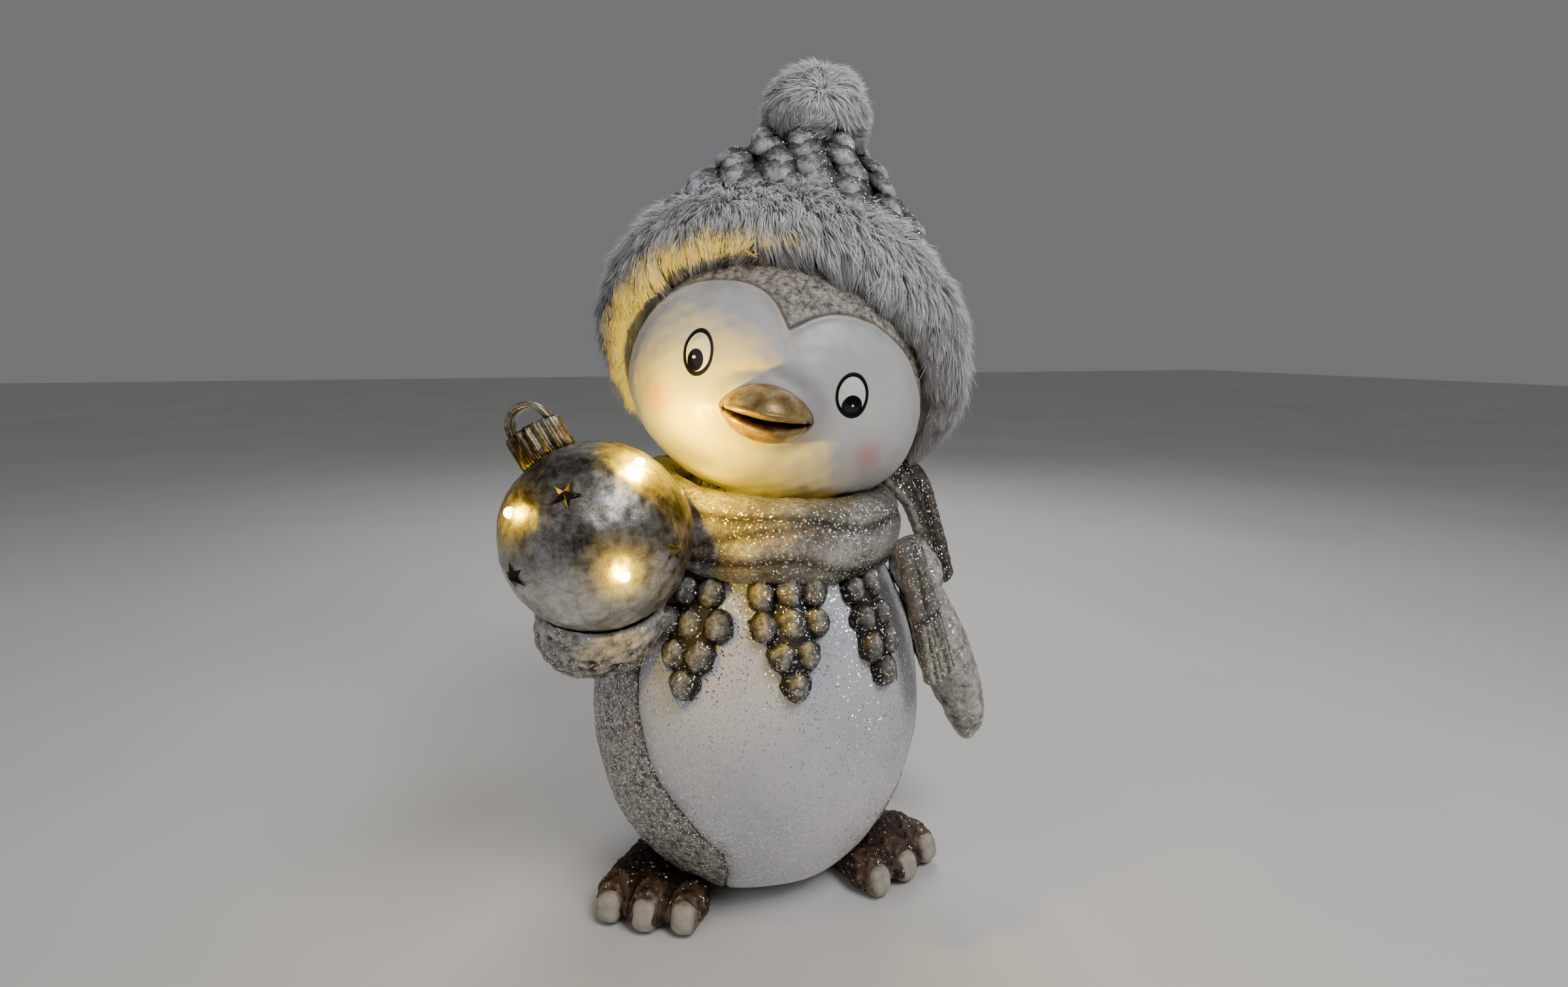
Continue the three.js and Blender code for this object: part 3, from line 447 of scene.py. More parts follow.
def belly_distance(turn, height):
    """Millimetres from the belly's edge along the surface, positive on the belly."""
    heights, angles = zip(*BELLY_EDGE)
    limit = np.radians(np.interp(height, heights, angles))
    slope = np.gradient(np.radians(np.interp(np.arange(0, 211.0), heights, angles)))
    lean = np.interp(height, np.arange(0, 211.0), slope) * body_radius(height)
    return (limit - np.abs(turn - BELLY_TURN)) * body_radius(height) / np.sqrt(1 + lean ** 2)


def body_skin():
    turn = np.linspace(-math.pi, math.pi, BODY_COLUMNS, endpoint=False)
    low = -math.asin(BELLY_HEIGHT / LOWER_HALF)
    rise = np.linspace(math.pi / 2, low, BODY_ROWS + 1)[1:]
    height = BELLY_HEIGHT + np.where(rise > 0, UPPER_HALF, LOWER_HALF) * np.sin(rise)
    radius = BELLY_RADIUS * np.cos(rise)
    port = BASE_RADIUS - PORT_WALL
    inner_low = math.asin((3.0 - BELLY_HEIGHT) / (LOWER_HALF - WALL))
    inner_rise = np.linspace(inner_low, math.pi / 2, INNER_ROWS + 1)[:-1]
    inner_half = np.where(inner_rise > 0, UPPER_HALF, LOWER_HALF) - WALL
    inner_height = BELLY_HEIGHT + inner_half * np.sin(inner_rise)
    inner_radius = (BELLY_RADIUS - WALL) * np.cos(inner_rise)
    height = np.concatenate([height, [0.0], inner_height])
    radius = np.concatenate([radius, [port], inner_radius])
    outer = len(rise)
    t, z = np.meshgrid(turn, height)
    r = np.repeat(radius[:, None], BODY_COLUMNS, axis=1)
    points = np.stack([r * np.sin(t), -r * DEPTH_RATIO * np.cos(t), z], axis=-1)
    half = np.where(z > BELLY_HEIGHT, UPPER_HALF, LOWER_HALF)
    normal = points / [BELLY_RADIUS ** 2, (BELLY_RADIUS * DEPTH_RATIO) ** 2, 1]
    normal[..., 2] = (z - BELLY_HEIGHT) / half ** 2
    normal /= np.linalg.norm(normal, axis=-1, keepdims=True)
    edge = belly_distance(t, z)
    groove = -0.9 * np.exp(-(edge / 0.9) ** 2) + 0.5 * smooth_step(-0.5, 3.0, edge)
    sponge = (0.22 * Ripples(7, 11)(points) + 0.16 * Ripples(3.2, 12)(points)) * smooth_step(2, -1, edge)
    lift = groove + sponge + 0.35 * Ripples(46, 13)(points) - 0.6
    lift[outer:] = 0
    fade = smooth_step(0, 6, z)[..., None]
    points = points + normal * lift[..., None] * fade
    front = smooth_step(-8, -16, points[..., 1])
    arch = ARCH_HEIGHT * np.sqrt(np.clip(1 - (points[..., 0] / (ARCH_WIDTH / 2)) ** 2, 0, 1)) * front
    points[..., 2] += arch * smooth_step(16, 0, z)
    tops = [[0, 0, BELLY_HEIGHT + UPPER_HALF - 0.6]], [[0, 0, BELLY_HEIGHT + UPPER_HALF - WALL]]
    skin = np.concatenate([tops[0], points.reshape(-1, 3), tops[1]])
    edges = np.concatenate([[20], edge.ravel(), [20]])
    return skin, edges, len(height)


skin, edges, rows = body_skin()
body = make_piece("body_casting", skin, wrapped_faces(rows, BODY_COLUMNS), body_paint, {"belly": edges})
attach(body, "figurine")
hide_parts("body_shell")
print("body:", len(body.data.polygons), "faces")

# %% [markdown]
# ## The head: a face in satin paint
# The face is a heart-shaped panel that stands a little proud of the head, sprayed off-white and rubbed smooth. Painted
# shade in brown-grey darkens the panel along the inside of its rim, round the beak and in the low spots of its
# surface, and a dark brown line of painted shade runs at the foot of the panel's edge. The eyes are printed pads with
# a black outline, and the cheeks are airbrushed. All of these are flat paint, so each is a distance attribute on a
# fine grid: an ellipse's or an outline's distance runs smoothly from point to point, so its zero line stays crisp
# whatever the grid does.

# %% Material: satin painted face
face_paint, tree = new_material("satin_painted_cast_stone")
place = add(tree, "ShaderNodeTexCoord").outputs["Object"]
face_edge = add(tree, "ShaderNodeAttribute", attribute_name="face").outputs["Fac"]
eye = add(tree, "ShaderNodeAttribute", attribute_name="eye").outputs["Fac"]
pupil = add(tree, "ShaderNodeAttribute", attribute_name="pupil").outputs["Fac"]
glint = add(tree, "ShaderNodeAttribute", attribute_name="glint").outputs["Fac"]
blush = add(tree, "ShaderNodeAttribute", attribute_name="blush").outputs["Fac"]
hollow = add(tree, "ShaderNodeAttribute", attribute_name="hollow").outputs["Fac"]
broad = add(tree, "ShaderNodeTexNoise", {"Vector": place, "Scale": per_mm(45), "Detail": 4.0})
cream = stops(
    add(tree, "ShaderNodeValToRGB", {0: broad.outputs[0]}), (0.3, "#B9BABD"), (0.5, "#CBCBCB"),
    (0.72, "#D5D3CE"),
)
airbrush = add(tree, "ShaderNodeMath", {0: blush, 1: 0.62}, operation="MULTIPLY")
rosy = add(tree, "ShaderNodeMix", {0: airbrush.outputs[0], 6: cream, 7: linear("#D8766E")}, data_type="RGBA")
# Painted shade: hollow mixes in brown-grey #8D8377 along the inside of the rim, round the beak and in the surface's
# low spots.
shade_amount = add(tree, "ShaderNodeMath", {0: hollow, 1: 0.5}, operation="MULTIPLY")
hollow_shaded = add(
    tree, "ShaderNodeMix", {0: shade_amount.outputs[0], 6: rosy.outputs[2], 7: linear("#8D8377")},
    data_type="RGBA",
)
sponge = add(
    tree, "ShaderNodeTexNoise", {"Vector": place, "Scale": per_mm(3.0), "Detail": 5.0, "Roughness": 0.75},
)
grey = stops(
    add(tree, "ShaderNodeValToRGB", {0: sponge.outputs[0]}),
    (0.36, "#3F3A36"), (0.45, "#7D756C"), (0.56, "#A79F94"), (0.68, "#C9C4BB"),
)
outside = add(tree, "ShaderNodeMapRange", {0: face_edge, 1: -0.6, 2: 0.4, 3: 1.0, 4: 0.0})
zones = add(tree, "ShaderNodeMix", {0: outside.outputs[0], 6: hollow_shaded.outputs[2], 7: grey}, data_type="RGBA")
# Painted shade: a dark brown line #5A4C3E at the foot of the panel's edge, in the corner where it meets the cap.
rim = add(tree, "ShaderNodeMath", {0: face_edge, 1: 0.9}, operation="ADD")
rim = add(tree, "ShaderNodeMath", {0: rim.outputs[0]}, operation="ABSOLUTE")
rim = add(tree, "ShaderNodeMapRange", {0: rim.outputs[0], 1: 0.2, 2: 1.9, 3: 0.85, 4: 0.0})
rim_shaded = add(
    tree, "ShaderNodeMix", {0: rim.outputs[0], 6: zones.outputs[2], 7: linear("#5A4C3E")}, data_type="RGBA",
)
SHARP = 0.07
in_eye = add(tree, "ShaderNodeMapRange", {0: eye, 1: -SHARP, 2: SHARP})
white = add(
    tree, "ShaderNodeMix", {0: in_eye.outputs[0], 6: rim_shaded.outputs[2], 7: linear("#ECEBE6")},
    data_type="RGBA",
)
stroke = add(tree, "ShaderNodeMath", {0: eye}, operation="ABSOLUTE")
stroke = add(tree, "ShaderNodeMapRange", {0: stroke.outputs[0], 1: 0.62, 2: 0.76, 3: 1.0, 4: 0.0})
in_pupil = add(tree, "ShaderNodeMapRange", {0: pupil, 1: -SHARP, 2: SHARP})
ink = add(tree, "ShaderNodeMath", {0: stroke.outputs[0], 1: in_pupil.outputs[0]}, operation="MAXIMUM")
inked = add(
    tree, "ShaderNodeMix", {0: ink.outputs[0], 6: white.outputs[2], 7: linear("#0B0A0A")}, data_type="RGBA",
)
spot = add(tree, "ShaderNodeMapRange", {0: glint, 1: -SHARP, 2: SHARP})
drawn = add(
    tree, "ShaderNodeMix", {0: spot.outputs[0], 6: inked.outputs[2], 7: linear("#F4F4F2")}, data_type="RGBA",
)
smooth = add(tree, "ShaderNodeMapRange", {0: in_eye.outputs[0], 3: 0.42, 4: 0.2})
rough = add(tree, "ShaderNodeMix", {0: outside.outputs[0], 2: smooth.outputs[0], 3: 0.8})
brushed = add(tree, "ShaderNodeTexNoise", {"Vector": place, "Scale": per_mm(1.6), "Detail": 2.0})
relief = add(tree, "ShaderNodeMix", {0: outside.outputs[0], 2: brushed.outputs[0], 3: sponge.outputs[0]})
depth = add(tree, "ShaderNodeMapRange", {0: outside.outputs[0], 3: 0.08, 4: 1.0})
bump = add(
    tree, "ShaderNodeBump", {"Height": relief.outputs[0], "Strength": depth.outputs[0], "Distance": 0.4 * MM},
)
shader = add(tree, "ShaderNodeBsdfPrincipled", {
    "Base Color": drawn.outputs[2], "Roughness": rough.outputs[0], "Normal": bump.outputs[0],
    "Coat Weight": 0.25, "Coat Roughness": 0.3,
})
add(tree, "ShaderNodeOutputMaterial", {0: shader.outputs[0]})

# %% The face's outline and paint, seen along its own front
FACE_OUTLINE = [
    (0.1, 27.8), (0.1, 27.8), (10.7, 37.3), (22.9, 41.1), (36, 40.3), (48.5, 34.7), (57, 28), (63, 20), (68.2, 9),
    (69.5, 0), (68.6, -10), (64.5, -23), (55, -36.5), (40, -46.5), (20, -52.5), (0, -54.2), (-20, -52.5), (-42, -45.5),
    (-57, -34), (-66, -20), (-69.5, -6), (-69, 6), (-64, 18.5), (-56, 29), (-45, 37), (-33.1, 41.5), (-20.6, 42.1),
    (-9.9, 38.9), (0.1, 27.8),
]
EYES = [((-34.7, 9.0), (6.15, 9.2), 8.1), ((33.4, 9.6), (6.55, 8.85), 13.5)]
PUPILS = [((-34.9, 5.5), (3.7, 4.8), 6.0), ((34.6, 5.0), (4.5, 4.9), 8.0)]
GLINTS = [((-35.7, 6.5), (0.8, 0.8), 0.0), ((34.7, 5.4), (0.65, 0.65), 0.0)]
CHEEKS = [(-47.0, -14.5), (46.6, -14.0)]


def rounded_outline(points, times=2):
    """Cuts the corners of a closed outline, which keeps only a doubled point sharp."""
    loop = np.array(points, float)
    for _ in range(times):
        after = np.roll(loop, -1, axis=0)
        loop = np.stack([0.75 * loop + 0.25 * after, 0.25 * loop + 0.75 * after], axis=1).reshape(-1, 2)
    return loop


def outline_distance(at, loop):
    """Signed distance to a closed outline, positive inside."""
    nearest = np.full(len(at), 1e9)
    crossings = np.zeros(len(at), int)
    for a, b in zip(loop, np.roll(loop, -1, axis=0)):
        run = b - a
        size = max(run @ run, 1e-9)
        share = np.clip(((at - a) @ run) / size, 0, 1)
        nearest = np.minimum(nearest, np.linalg.norm(at - a - share[:, None] * run, axis=1))
        spans = (a[1] > at[:, 1]) != (b[1] > at[:, 1])
        rise = run[1] if abs(run[1]) > 1e-9 else 1e-9
        crossings += spans & (at[:, 0] < a[0] + (at[:, 1] - a[1]) * run[0] / rise)
    return np.where(crossings % 2 == 1, nearest, -nearest)


def oval_distance(at, centre, half, lean):
    """About how far inside a leaning oval each point is, positive inside."""
    a = math.radians(lean)
    off = at - np.array(centre)
    u = off[:, 0] * math.cos(a) + off[:, 1] * math.sin(a)
    v = -off[:, 0] * math.sin(a) + off[:, 1] * math.cos(a)
    return (1 - np.hypot(u / half[0], v / half[1])) * min(half)


# %% The head's surface
HEAD_COLUMNS, HEAD_ROWS = 340, 236
FRONT_CROWDING = 0.42


def head_skin():
    u = np.linspace(0, 2 * math.pi, HEAD_COLUMNS, endpoint=False)
    turn = u - FRONT_CROWDING * np.sin(u)
    rise = np.linspace(math.pi / 2, -math.pi / 2, HEAD_ROWS + 2)[1:-1]
    t, e = np.meshgrid(turn, rise)
    half = np.where(e > 0, HEAD_UP, HEAD_DOWN)
    local = np.stack(
        [HEAD_WIDE * np.cos(e) * np.sin(t), -HEAD_DEEP * np.cos(e) * np.cos(t), half * np.sin(e)], axis=-1,
    )
    local = np.concatenate([[[0, 0, HEAD_UP]], local.reshape(-1, 3), [[0, 0, -HEAD_DOWN]]])
    half = np.where(local[:, 2] > 0, HEAD_UP, HEAD_DOWN)
    normal = local / np.stack(
        [np.full(len(local), HEAD_WIDE), np.full(len(local), HEAD_DEEP), half], axis=1,
    ) ** 2
    normal /= np.linalg.norm(normal, axis=1, keepdims=True)
    at = local[:, [0, 2]]
    front = local[:, 1] < 0
    face = np.where(front, outline_distance(at, rounded_outline(FACE_OUTLINE)), -np.abs(local[:, 1]) - 3)
    face = np.clip(face, -30, 30)
    marks = {}
    for key, ovals in (("eye", EYES), ("pupil", PUPILS), ("glint", GLINTS)):
        found = np.max([oval_distance(at, *oval) for oval in ovals], axis=0)
        marks[key] = np.where(front, found, -5)
    reach = [np.exp(-(np.hypot(*(at - np.array(cheek)).T) / 6.2) ** 2) for cheek in CHEEKS]
    marks["blush"] = np.where(front, np.max(reach, axis=0), 0)
    lift = 1.3 * smooth_step(-1.6, 0.6, face) + 0.7 * np.exp(-((face - 0.9) / 1.3) ** 2) - 1.4
    for (x, z), (wide, high), _ in EYES:
        near = np.exp(-(((at[:, 0] - x) / (wide * 2.1)) ** 2 + ((at[:, 1] - z + 2) / (high * 1.7)) ** 2))
        lift -= 1.7 * near * front
    lift += 0.75 * smooth_step(0.3, 3.2, marks["eye"]) + 0.25 * smooth_step(-0.9, 0.0, marks["eye"])
    for x, z in ((-45, -20), (45, -20)):
        lift += 2.4 * np.exp(-(((at[:, 0] - x) / 19) ** 2 + ((at[:, 1] - z) / 17) ** 2)) * front
    beak_ring = np.hypot(at[:, 0] / 24, (at[:, 1] + 7) / 16.5)
    lift -= 1.3 * np.exp(-((beak_ring - 1) / 0.2) ** 2) * front
    crease = at[:, 1] - 12 - 0.32 * at[:, 0]
    lift -= 0.7 * np.exp(-(crease / 1.6) ** 2 - ((at[:, 0] + 9) / 9) ** 2) * front
    hand = 0.45 * Ripples(30, 21)(local) + 0.14 * Ripples(9, 22)(local)
    rough = 0.25 * Ripples(3.4, 23)(local) * smooth_step(-0.5, -2.5, face)
    # Painted shade, strongest along the inside of the panel's rim, then in the groove round the beak and in low spots
    # of the surface.
    marks["hollow"] = np.clip(
        0.55 * np.exp(-(np.clip(face, 0, 30) / 5.0) ** 2)
        + 0.7 * np.exp(-((beak_ring - 0.92) / 0.16) ** 2) * front
        + 0.35 * smooth_step(0.4, 1.4, -hand * 2.2), 0, 1,
    )
    marks["face"] = face
    local = local + normal * (lift + hand * 0.8 + rough)[:, None]
    return head_place(local), marks


skin, marks = head_skin()
head = make_piece("head_casting", skin, wrapped_faces(HEAD_ROWS, HEAD_COLUMNS), face_paint, marks)
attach(head, "figurine")
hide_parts("head_shell")
print("head:", len(head.data.polygons), "faces")

# %% [markdown]
# ## The beak: gold paint rubbed with brown
# The beak is cast with the head and painted dull gold, with patches of brown glaze. The mouth line, the two corners
# and the beak away from its front are darkened as painted shade. It is a lemon shape lying across the face, so the
# grid's poles are its two corners. The mouth is a wedge pushed into it, and the distance to that wedge guides the
# painted shade.

# %% Material: glazed gold paint
beak_paint, tree = new_material("brown_glazed_gold_paint")
place = add(tree, "ShaderNodeTexCoord").outputs["Object"]
crease_shade = add(tree, "ShaderNodeAttribute", attribute_name="crease_shade").outputs["Fac"]
mottle = add(
    tree, "ShaderNodeTexNoise", {"Vector": place, "Scale": per_mm(9), "Detail": 5.0, "Roughness": 0.65},
)
gold = stops(
    add(tree, "ShaderNodeValToRGB", {0: mottle.outputs[0]}),
    (0.32, "#6B5228"), (0.46, "#9A7C46"), (0.6, "#B7A276"), (0.75, "#CFC7B0"),
)
patches = add(tree, "ShaderNodeTexNoise", {"Vector": place, "Scale": per_mm(3), "Detail": 4.0})
reach = add(tree, "ShaderNodeMath", {0: patches.outputs[0], 1: 0.5}, operation="SUBTRACT")
reach = add(tree, "ShaderNodeMath", {0: reach.outputs[0], 1: crease_shade}, operation="ADD")
# The random brown patches add to crease_shade, so the darkening here is partly brown glaze and partly painted shade.
glaze_and_shade = add(tree, "ShaderNodeMapRange", {0: reach.outputs[0], 1: 0.0, 2: 0.7, 4: 0.96})
toned = add(tree, "ShaderNodeMix", {0: glaze_and_shade.outputs[0], 6: gold, 7: linear("#2E2013")}, data_type="RGBA")
gloss = add(tree, "ShaderNodeMapRange", {0: mottle.outputs[0], 1: 0.3, 2: 0.7, 3: 0.45, 4: 0.26})
bump = add(tree, "ShaderNodeBump", {"Height": patches.outputs[0], "Strength": 0.35, "Distance": 0.4 * MM})
shader = add(tree, "ShaderNodeBsdfPrincipled", {
    "Base Color": toned.outputs[2], "Roughness": gloss.outputs[0], "Metallic": 0.35, "Normal": bump.outputs[0],
})
add(tree, "ShaderNodeOutputMaterial", {0: shader.outputs[0]})

# %% The beak
BEAK_SEAT = np.array([0.4, -62.5, -7.3])
BEAK_HALF_WIDE, BEAK_LEAN, MOUTH_ANGLE = 20.4, 4.9, -9.0
BEAK_COLUMNS, BEAK_ROWS = 150, 96


def beak_skin():
    t, a = np.meshgrid(
        np.linspace(-1, 1, BEAK_ROWS + 2)[1:-1], np.linspace(-180, 180, BEAK_COLUMNS, endpoint=False),
        indexing="ij",
    )
    girth = (1 - np.abs(t) ** 2.1) ** 0.72
    up = np.sin(np.radians(a))
    out = np.cos(np.radians(a))
    mouth = MOUTH_ANGLE - 4 * (1 - np.abs(t))
    gape = np.exp(-((a - mouth) / 6.5) ** 2) * (1 - np.abs(t) ** 6)
    lip = np.exp(-((a - mouth - 15) / 9) ** 2) - 0.4 * np.exp(-((a - mouth + 15) / 9) ** 2)
    notch = np.exp(-((np.abs(t) - 0.86) / 0.022) ** 2) * np.exp(-((a - mouth) / 22) ** 2)
    front = np.where(out > 0, np.where(a > mouth, 21.5, 18.0), 5.0)
    size = 1 - 0.42 * gape + 0.045 * lip - 0.12 * notch
    y = -front * out * girth ** 0.9 * size
    z = np.where(up > 0, 12.6, 12.4) * up * girth * size + 0.9 * lip * girth
    x = BEAK_HALF_WIDE * t
    lean = math.radians(BEAK_LEAN)
    # Painted shade: crease_shade is high in the mouth line and the corner notches, at both ends, and away from the
    # beak's front.
    crease_shade = np.clip(
        gape * 1.1 + notch * 1.2 + 0.5 * smooth_step(0.8, 1.0, np.abs(t)) + 0.45 * smooth_step(60, 95, np.abs(a)),
        0, 1.2,
    )
    points = np.stack(
        [x * math.cos(lean) - z * math.sin(lean), y, x * math.sin(lean) + z * math.cos(lean)], axis=-1,
    )
    corner = np.array([math.cos(lean), 0, math.sin(lean)]) * BEAK_HALF_WIDE
    points = np.concatenate([[-corner], points.reshape(-1, 3), [corner]])
    points += 0.12 * Ripples(8, 31)(points)[:, None]
    return head_place(points + BEAK_SEAT), np.concatenate([[1], crease_shade.ravel(), [1]])


skin, crease_shade = beak_skin()
beak = make_piece("beak_painted", skin, wrapped_faces(BEAK_ROWS, BEAK_COLUMNS), beak_paint, {"crease_shade": crease_shade})
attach(beak, "figurine")
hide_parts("beak")
print("beak:", len(beak.data.polygons), "faces")

# %% [markdown]
# ## Cone scales with Geometry Nodes
# The hat and the pendants are sculpted as pine cones: rows of plump scales like shingles. One scale is
# modelled once, and a small node tree puts a copy on every point of a plan. Each point of the plan carries
# the turn and the size of its scale, and the tree makes the copies real, because only real faces reach the
# exported model.

# %% The node tree that puts copies on a plan
def copies_tree(name):
    """Geometry in: the plan's points. Inputs: the shape to copy, an overall size, and the finish."""
    group = bpy.data.node_groups.new(name, "GeometryNodeTree")
    shape = group.interface
    shape.new_socket("Plan", in_out="INPUT", socket_type="NodeSocketGeometry")
    shape.new_socket("Shape", in_out="INPUT", socket_type="NodeSocketObject")
    shape.new_socket("Overall size", in_out="INPUT", socket_type="NodeSocketFloat")
    shape.new_socket("Finish", in_out="INPUT", socket_type="NodeSocketMaterial")
    shape.new_socket("Copies", in_out="OUTPUT", socket_type="NodeSocketGeometry")
    given = group.nodes.new("NodeGroupInput")
    info = add(
        group, "GeometryNodeObjectInfo", {"Object": given.outputs["Shape"]}, transform_space="ORIGINAL",
    )
    turn = add(group, "GeometryNodeInputNamedAttribute", {"Name": "turn"}, data_type="FLOAT_VECTOR")
    size = add(group, "GeometryNodeInputNamedAttribute", {"Name": "size"}, data_type="FLOAT_VECTOR")
    whole = add(group, "ShaderNodeVectorMath", {0: size.outputs["Attribute"]}, operation="SCALE")
    group.links.new(given.outputs["Overall size"], whole.inputs["Scale"])
    placed = add(group, "GeometryNodeInstanceOnPoints", {
        "Points": given.outputs["Plan"], "Instance": info.outputs["Geometry"],
        "Rotation": turn.outputs["Attribute"], "Scale": whole.outputs[0],
    })
    real = add(group, "GeometryNodeRealizeInstances", {0: placed.outputs[0]})
    dressed = add(
        group, "GeometryNodeSetMaterial", {"Geometry": real.outputs[0], "Material": given.outputs["Finish"]},
    )
    result = group.nodes.new("NodeGroupOutput")
    group.links.new(dressed.outputs[0], result.inputs["Copies"])
    return group


COPIES = copies_tree("copies_on_a_plan")


def copy_shape(name, shape, points_mm, turns, sizes, material):
    """Runs the tree on a plan and keeps the result as a plain mesh in one new object."""
    plan = bpy.data.meshes.new(name + "_plan")
    plan.from_pydata(metres(points_mm).tolist(), [], [])
    for key, values in (("turn", turns), ("size", sizes)):
        layer = plan.attributes.new(key, "FLOAT_VECTOR", "POINT")
        layer.data.foreach_set("vector", np.asarray(values, np.float32).ravel())
    holder = bpy.data.objects.new(name + "_plan", plan)
    bpy.context.scene.collection.objects.link(holder)
    modifier = holder.modifiers.new("copies", "NODES")
    modifier.node_group = COPIES
    sockets = {item.name: item.identifier for item in COPIES.interface.items_tree if item.in_out == "INPUT"}
    modifier[sockets["Shape"]] = shape
    modifier[sockets["Overall size"]] = 1.0
    modifier[sockets["Finish"]] = material
    graph = bpy.context.evaluated_depsgraph_get()
    mesh = bpy.data.meshes.new_from_object(holder.evaluated_get(graph))
    mesh.name = name
    holder.modifiers.clear()
    bpy.data.objects.remove(holder)
    bpy.data.meshes.remove(plan)
    if not mesh.materials:
        mesh.materials.append(material)
    piece = bpy.data.objects.new(name, mesh)
    bpy.context.scene.collection.objects.link(piece)
    return piece


def template(name, points, faces, values=None):
    """A shape to copy, in metres round its own origin. It is removed again once its copies are made."""
    mesh = bpy.data.meshes.new(name)
    mesh.from_pydata(np.asarray(points).tolist(), [], outward(np.asarray(points), faces))
    for key, numbers in (values or {}).items():
        mesh.attributes.new(key, "FLOAT", "POINT").data.foreach_set("value", np.asarray(numbers, np.float32))
    mesh.polygons.foreach_set("use_smooth", [True] * len(mesh.polygons))
    shape = bpy.data.objects.new(name, mesh)
    bpy.context.scene.collection.objects.link(shape)
    return shape


def read_points(mesh):
    flat = np.empty(len(mesh.vertices) * 3)
    mesh.vertices.foreach_get("co", flat)
    return (flat.reshape(-1, 3) - AXIS) / MM


def write_points(mesh, points_mm):
    mesh.vertices.foreach_set("co", metres(points_mm).ravel())
    mesh.update()


def euler_of(across, ahead, out):
    """The turns that carry X, Y and Z onto three directions."""
    return tuple(Matrix(np.stack([across, ahead, out], axis=1).tolist()).to_euler("XYZ"))


def joined_piece(name, parts):
    """One object from several, keeping the first one's name."""
    bpy.ops.object.select_all(action="DESELECT")
    for part in parts:
        part.select_set(True)
    bpy.context.view_layer.objects.active = parts[0]
    bpy.ops.object.join()
    parts[0].name = name
    return parts[0]


print("copying tree has", len(COPIES.nodes), "nodes")

# %% [markdown]
# ## Material: dry-brushed cone paint
# A cone scale is base-coated dark brown-grey. A nearly dry brush with silver-white paint is then dragged
# across, so paint catches only on the tips. Each scale carries a tip attribute, and a coarse noise breaks
# its edge.

# %% Dry-brushed cone paint
def dry_brushed(name, dark, middle, light, low, high, share, grain_mm=3.2):
    material, tree = new_material(name)
    place = add(tree, "ShaderNodeTexCoord").outputs["Object"]
    tip = add(tree, "ShaderNodeAttribute", attribute_name="tip").outputs["Fac"]
    streaks = add(
        tree, "ShaderNodeTexNoise",
        {"Vector": place, "Scale": per_mm(grain_mm), "Detail": 5.0, "Roughness": 0.75},
    )
    broken = add(tree, "ShaderNodeMath", {0: streaks.outputs[0], 1: 0.5}, operation="SUBTRACT")
    broken = add(tree, "ShaderNodeMath", {0: broken.outputs[0], 1: 1.7}, operation="MULTIPLY")
    caught = add(tree, "ShaderNodeMath", {0: tip, 1: broken.outputs[0]}, operation="ADD")
    share_of_light = add(tree, "ShaderNodeMapRange", {0: caught.outputs[0], 1: low, 2: high})
    colour = stops(
        add(tree, "ShaderNodeValToRGB", {0: share_of_light.outputs[0]}), (0.0, dark), (0.45, middle),
        (1.0, light),
    )
    lacquered(tree, place, colour, streaks.outputs[0], 0.6, share, tint=0.05, bump_mm=0.5)
    return material


cone_paint = dry_brushed("dry_brushed_cone_paint", "#1B1918", "#605D5B", "#C6C7CA", 0.25, 1.12, 0.05)
pendant_paint = dry_brushed("dry_brushed_pendant_paint", "#23201D", "#6B6761", "#CBC9C4", 0.12, 1.1, 0.1)

# %% One cone scale, a plump tongue with a ridge
SCALE_COLUMNS, SCALE_ROWS = 12, 8


def scale_template():
    s, a = np.meshgrid(
        np.linspace(0, 1, SCALE_ROWS + 2)[1:-1], np.linspace(0, 2 * math.pi, SCALE_COLUMNS, endpoint=False),
        indexing="ij",
    )
    half = np.sin(np.pi * np.clip(s, 0, 1) ** 0.8) ** 0.62
    ridge = np.clip(np.sin(a), 0, 1) ** 3
    x = 0.56 * half * np.cos(a) * (1 - 0.18 * smooth_step(0.5, 1.0, s))
    y = 1.25 * s - 0.55 + 0.06 * np.sin(a) * half
    z = np.where(np.sin(a) > 0, 0.34, 0.17) * half * np.sin(a) + 0.10 * ridge * half + 0.42 * s ** 1.5
    tip = smooth_step(0.3, 0.95, s) * 0.75 + 0.4 * np.clip(np.sin(a), -0.9, 1)
    points = np.concatenate([[[0, -0.55, 0]], np.stack([x, y, z], axis=-1).reshape(-1, 3), [[0, 0.71, 0.33]]])
    return points * MM, np.concatenate([[0], tip.ravel(), [0.9]])


points, tip = scale_template()
cone_scale = template("cone_scale", points, wrapped_faces(SCALE_ROWS, SCALE_COLUMNS), {"tip": tip})
print("one scale:", len(cone_scale.data.polygons), "faces")

# %% The hat's wall, then its rows of scales
HAT_EDGE_INSET, HAT_EDGE_FORWARD, HAT_TOP_RADIUS, HAT_BULGE = 6.0, 8.0, 14.0, 40.0


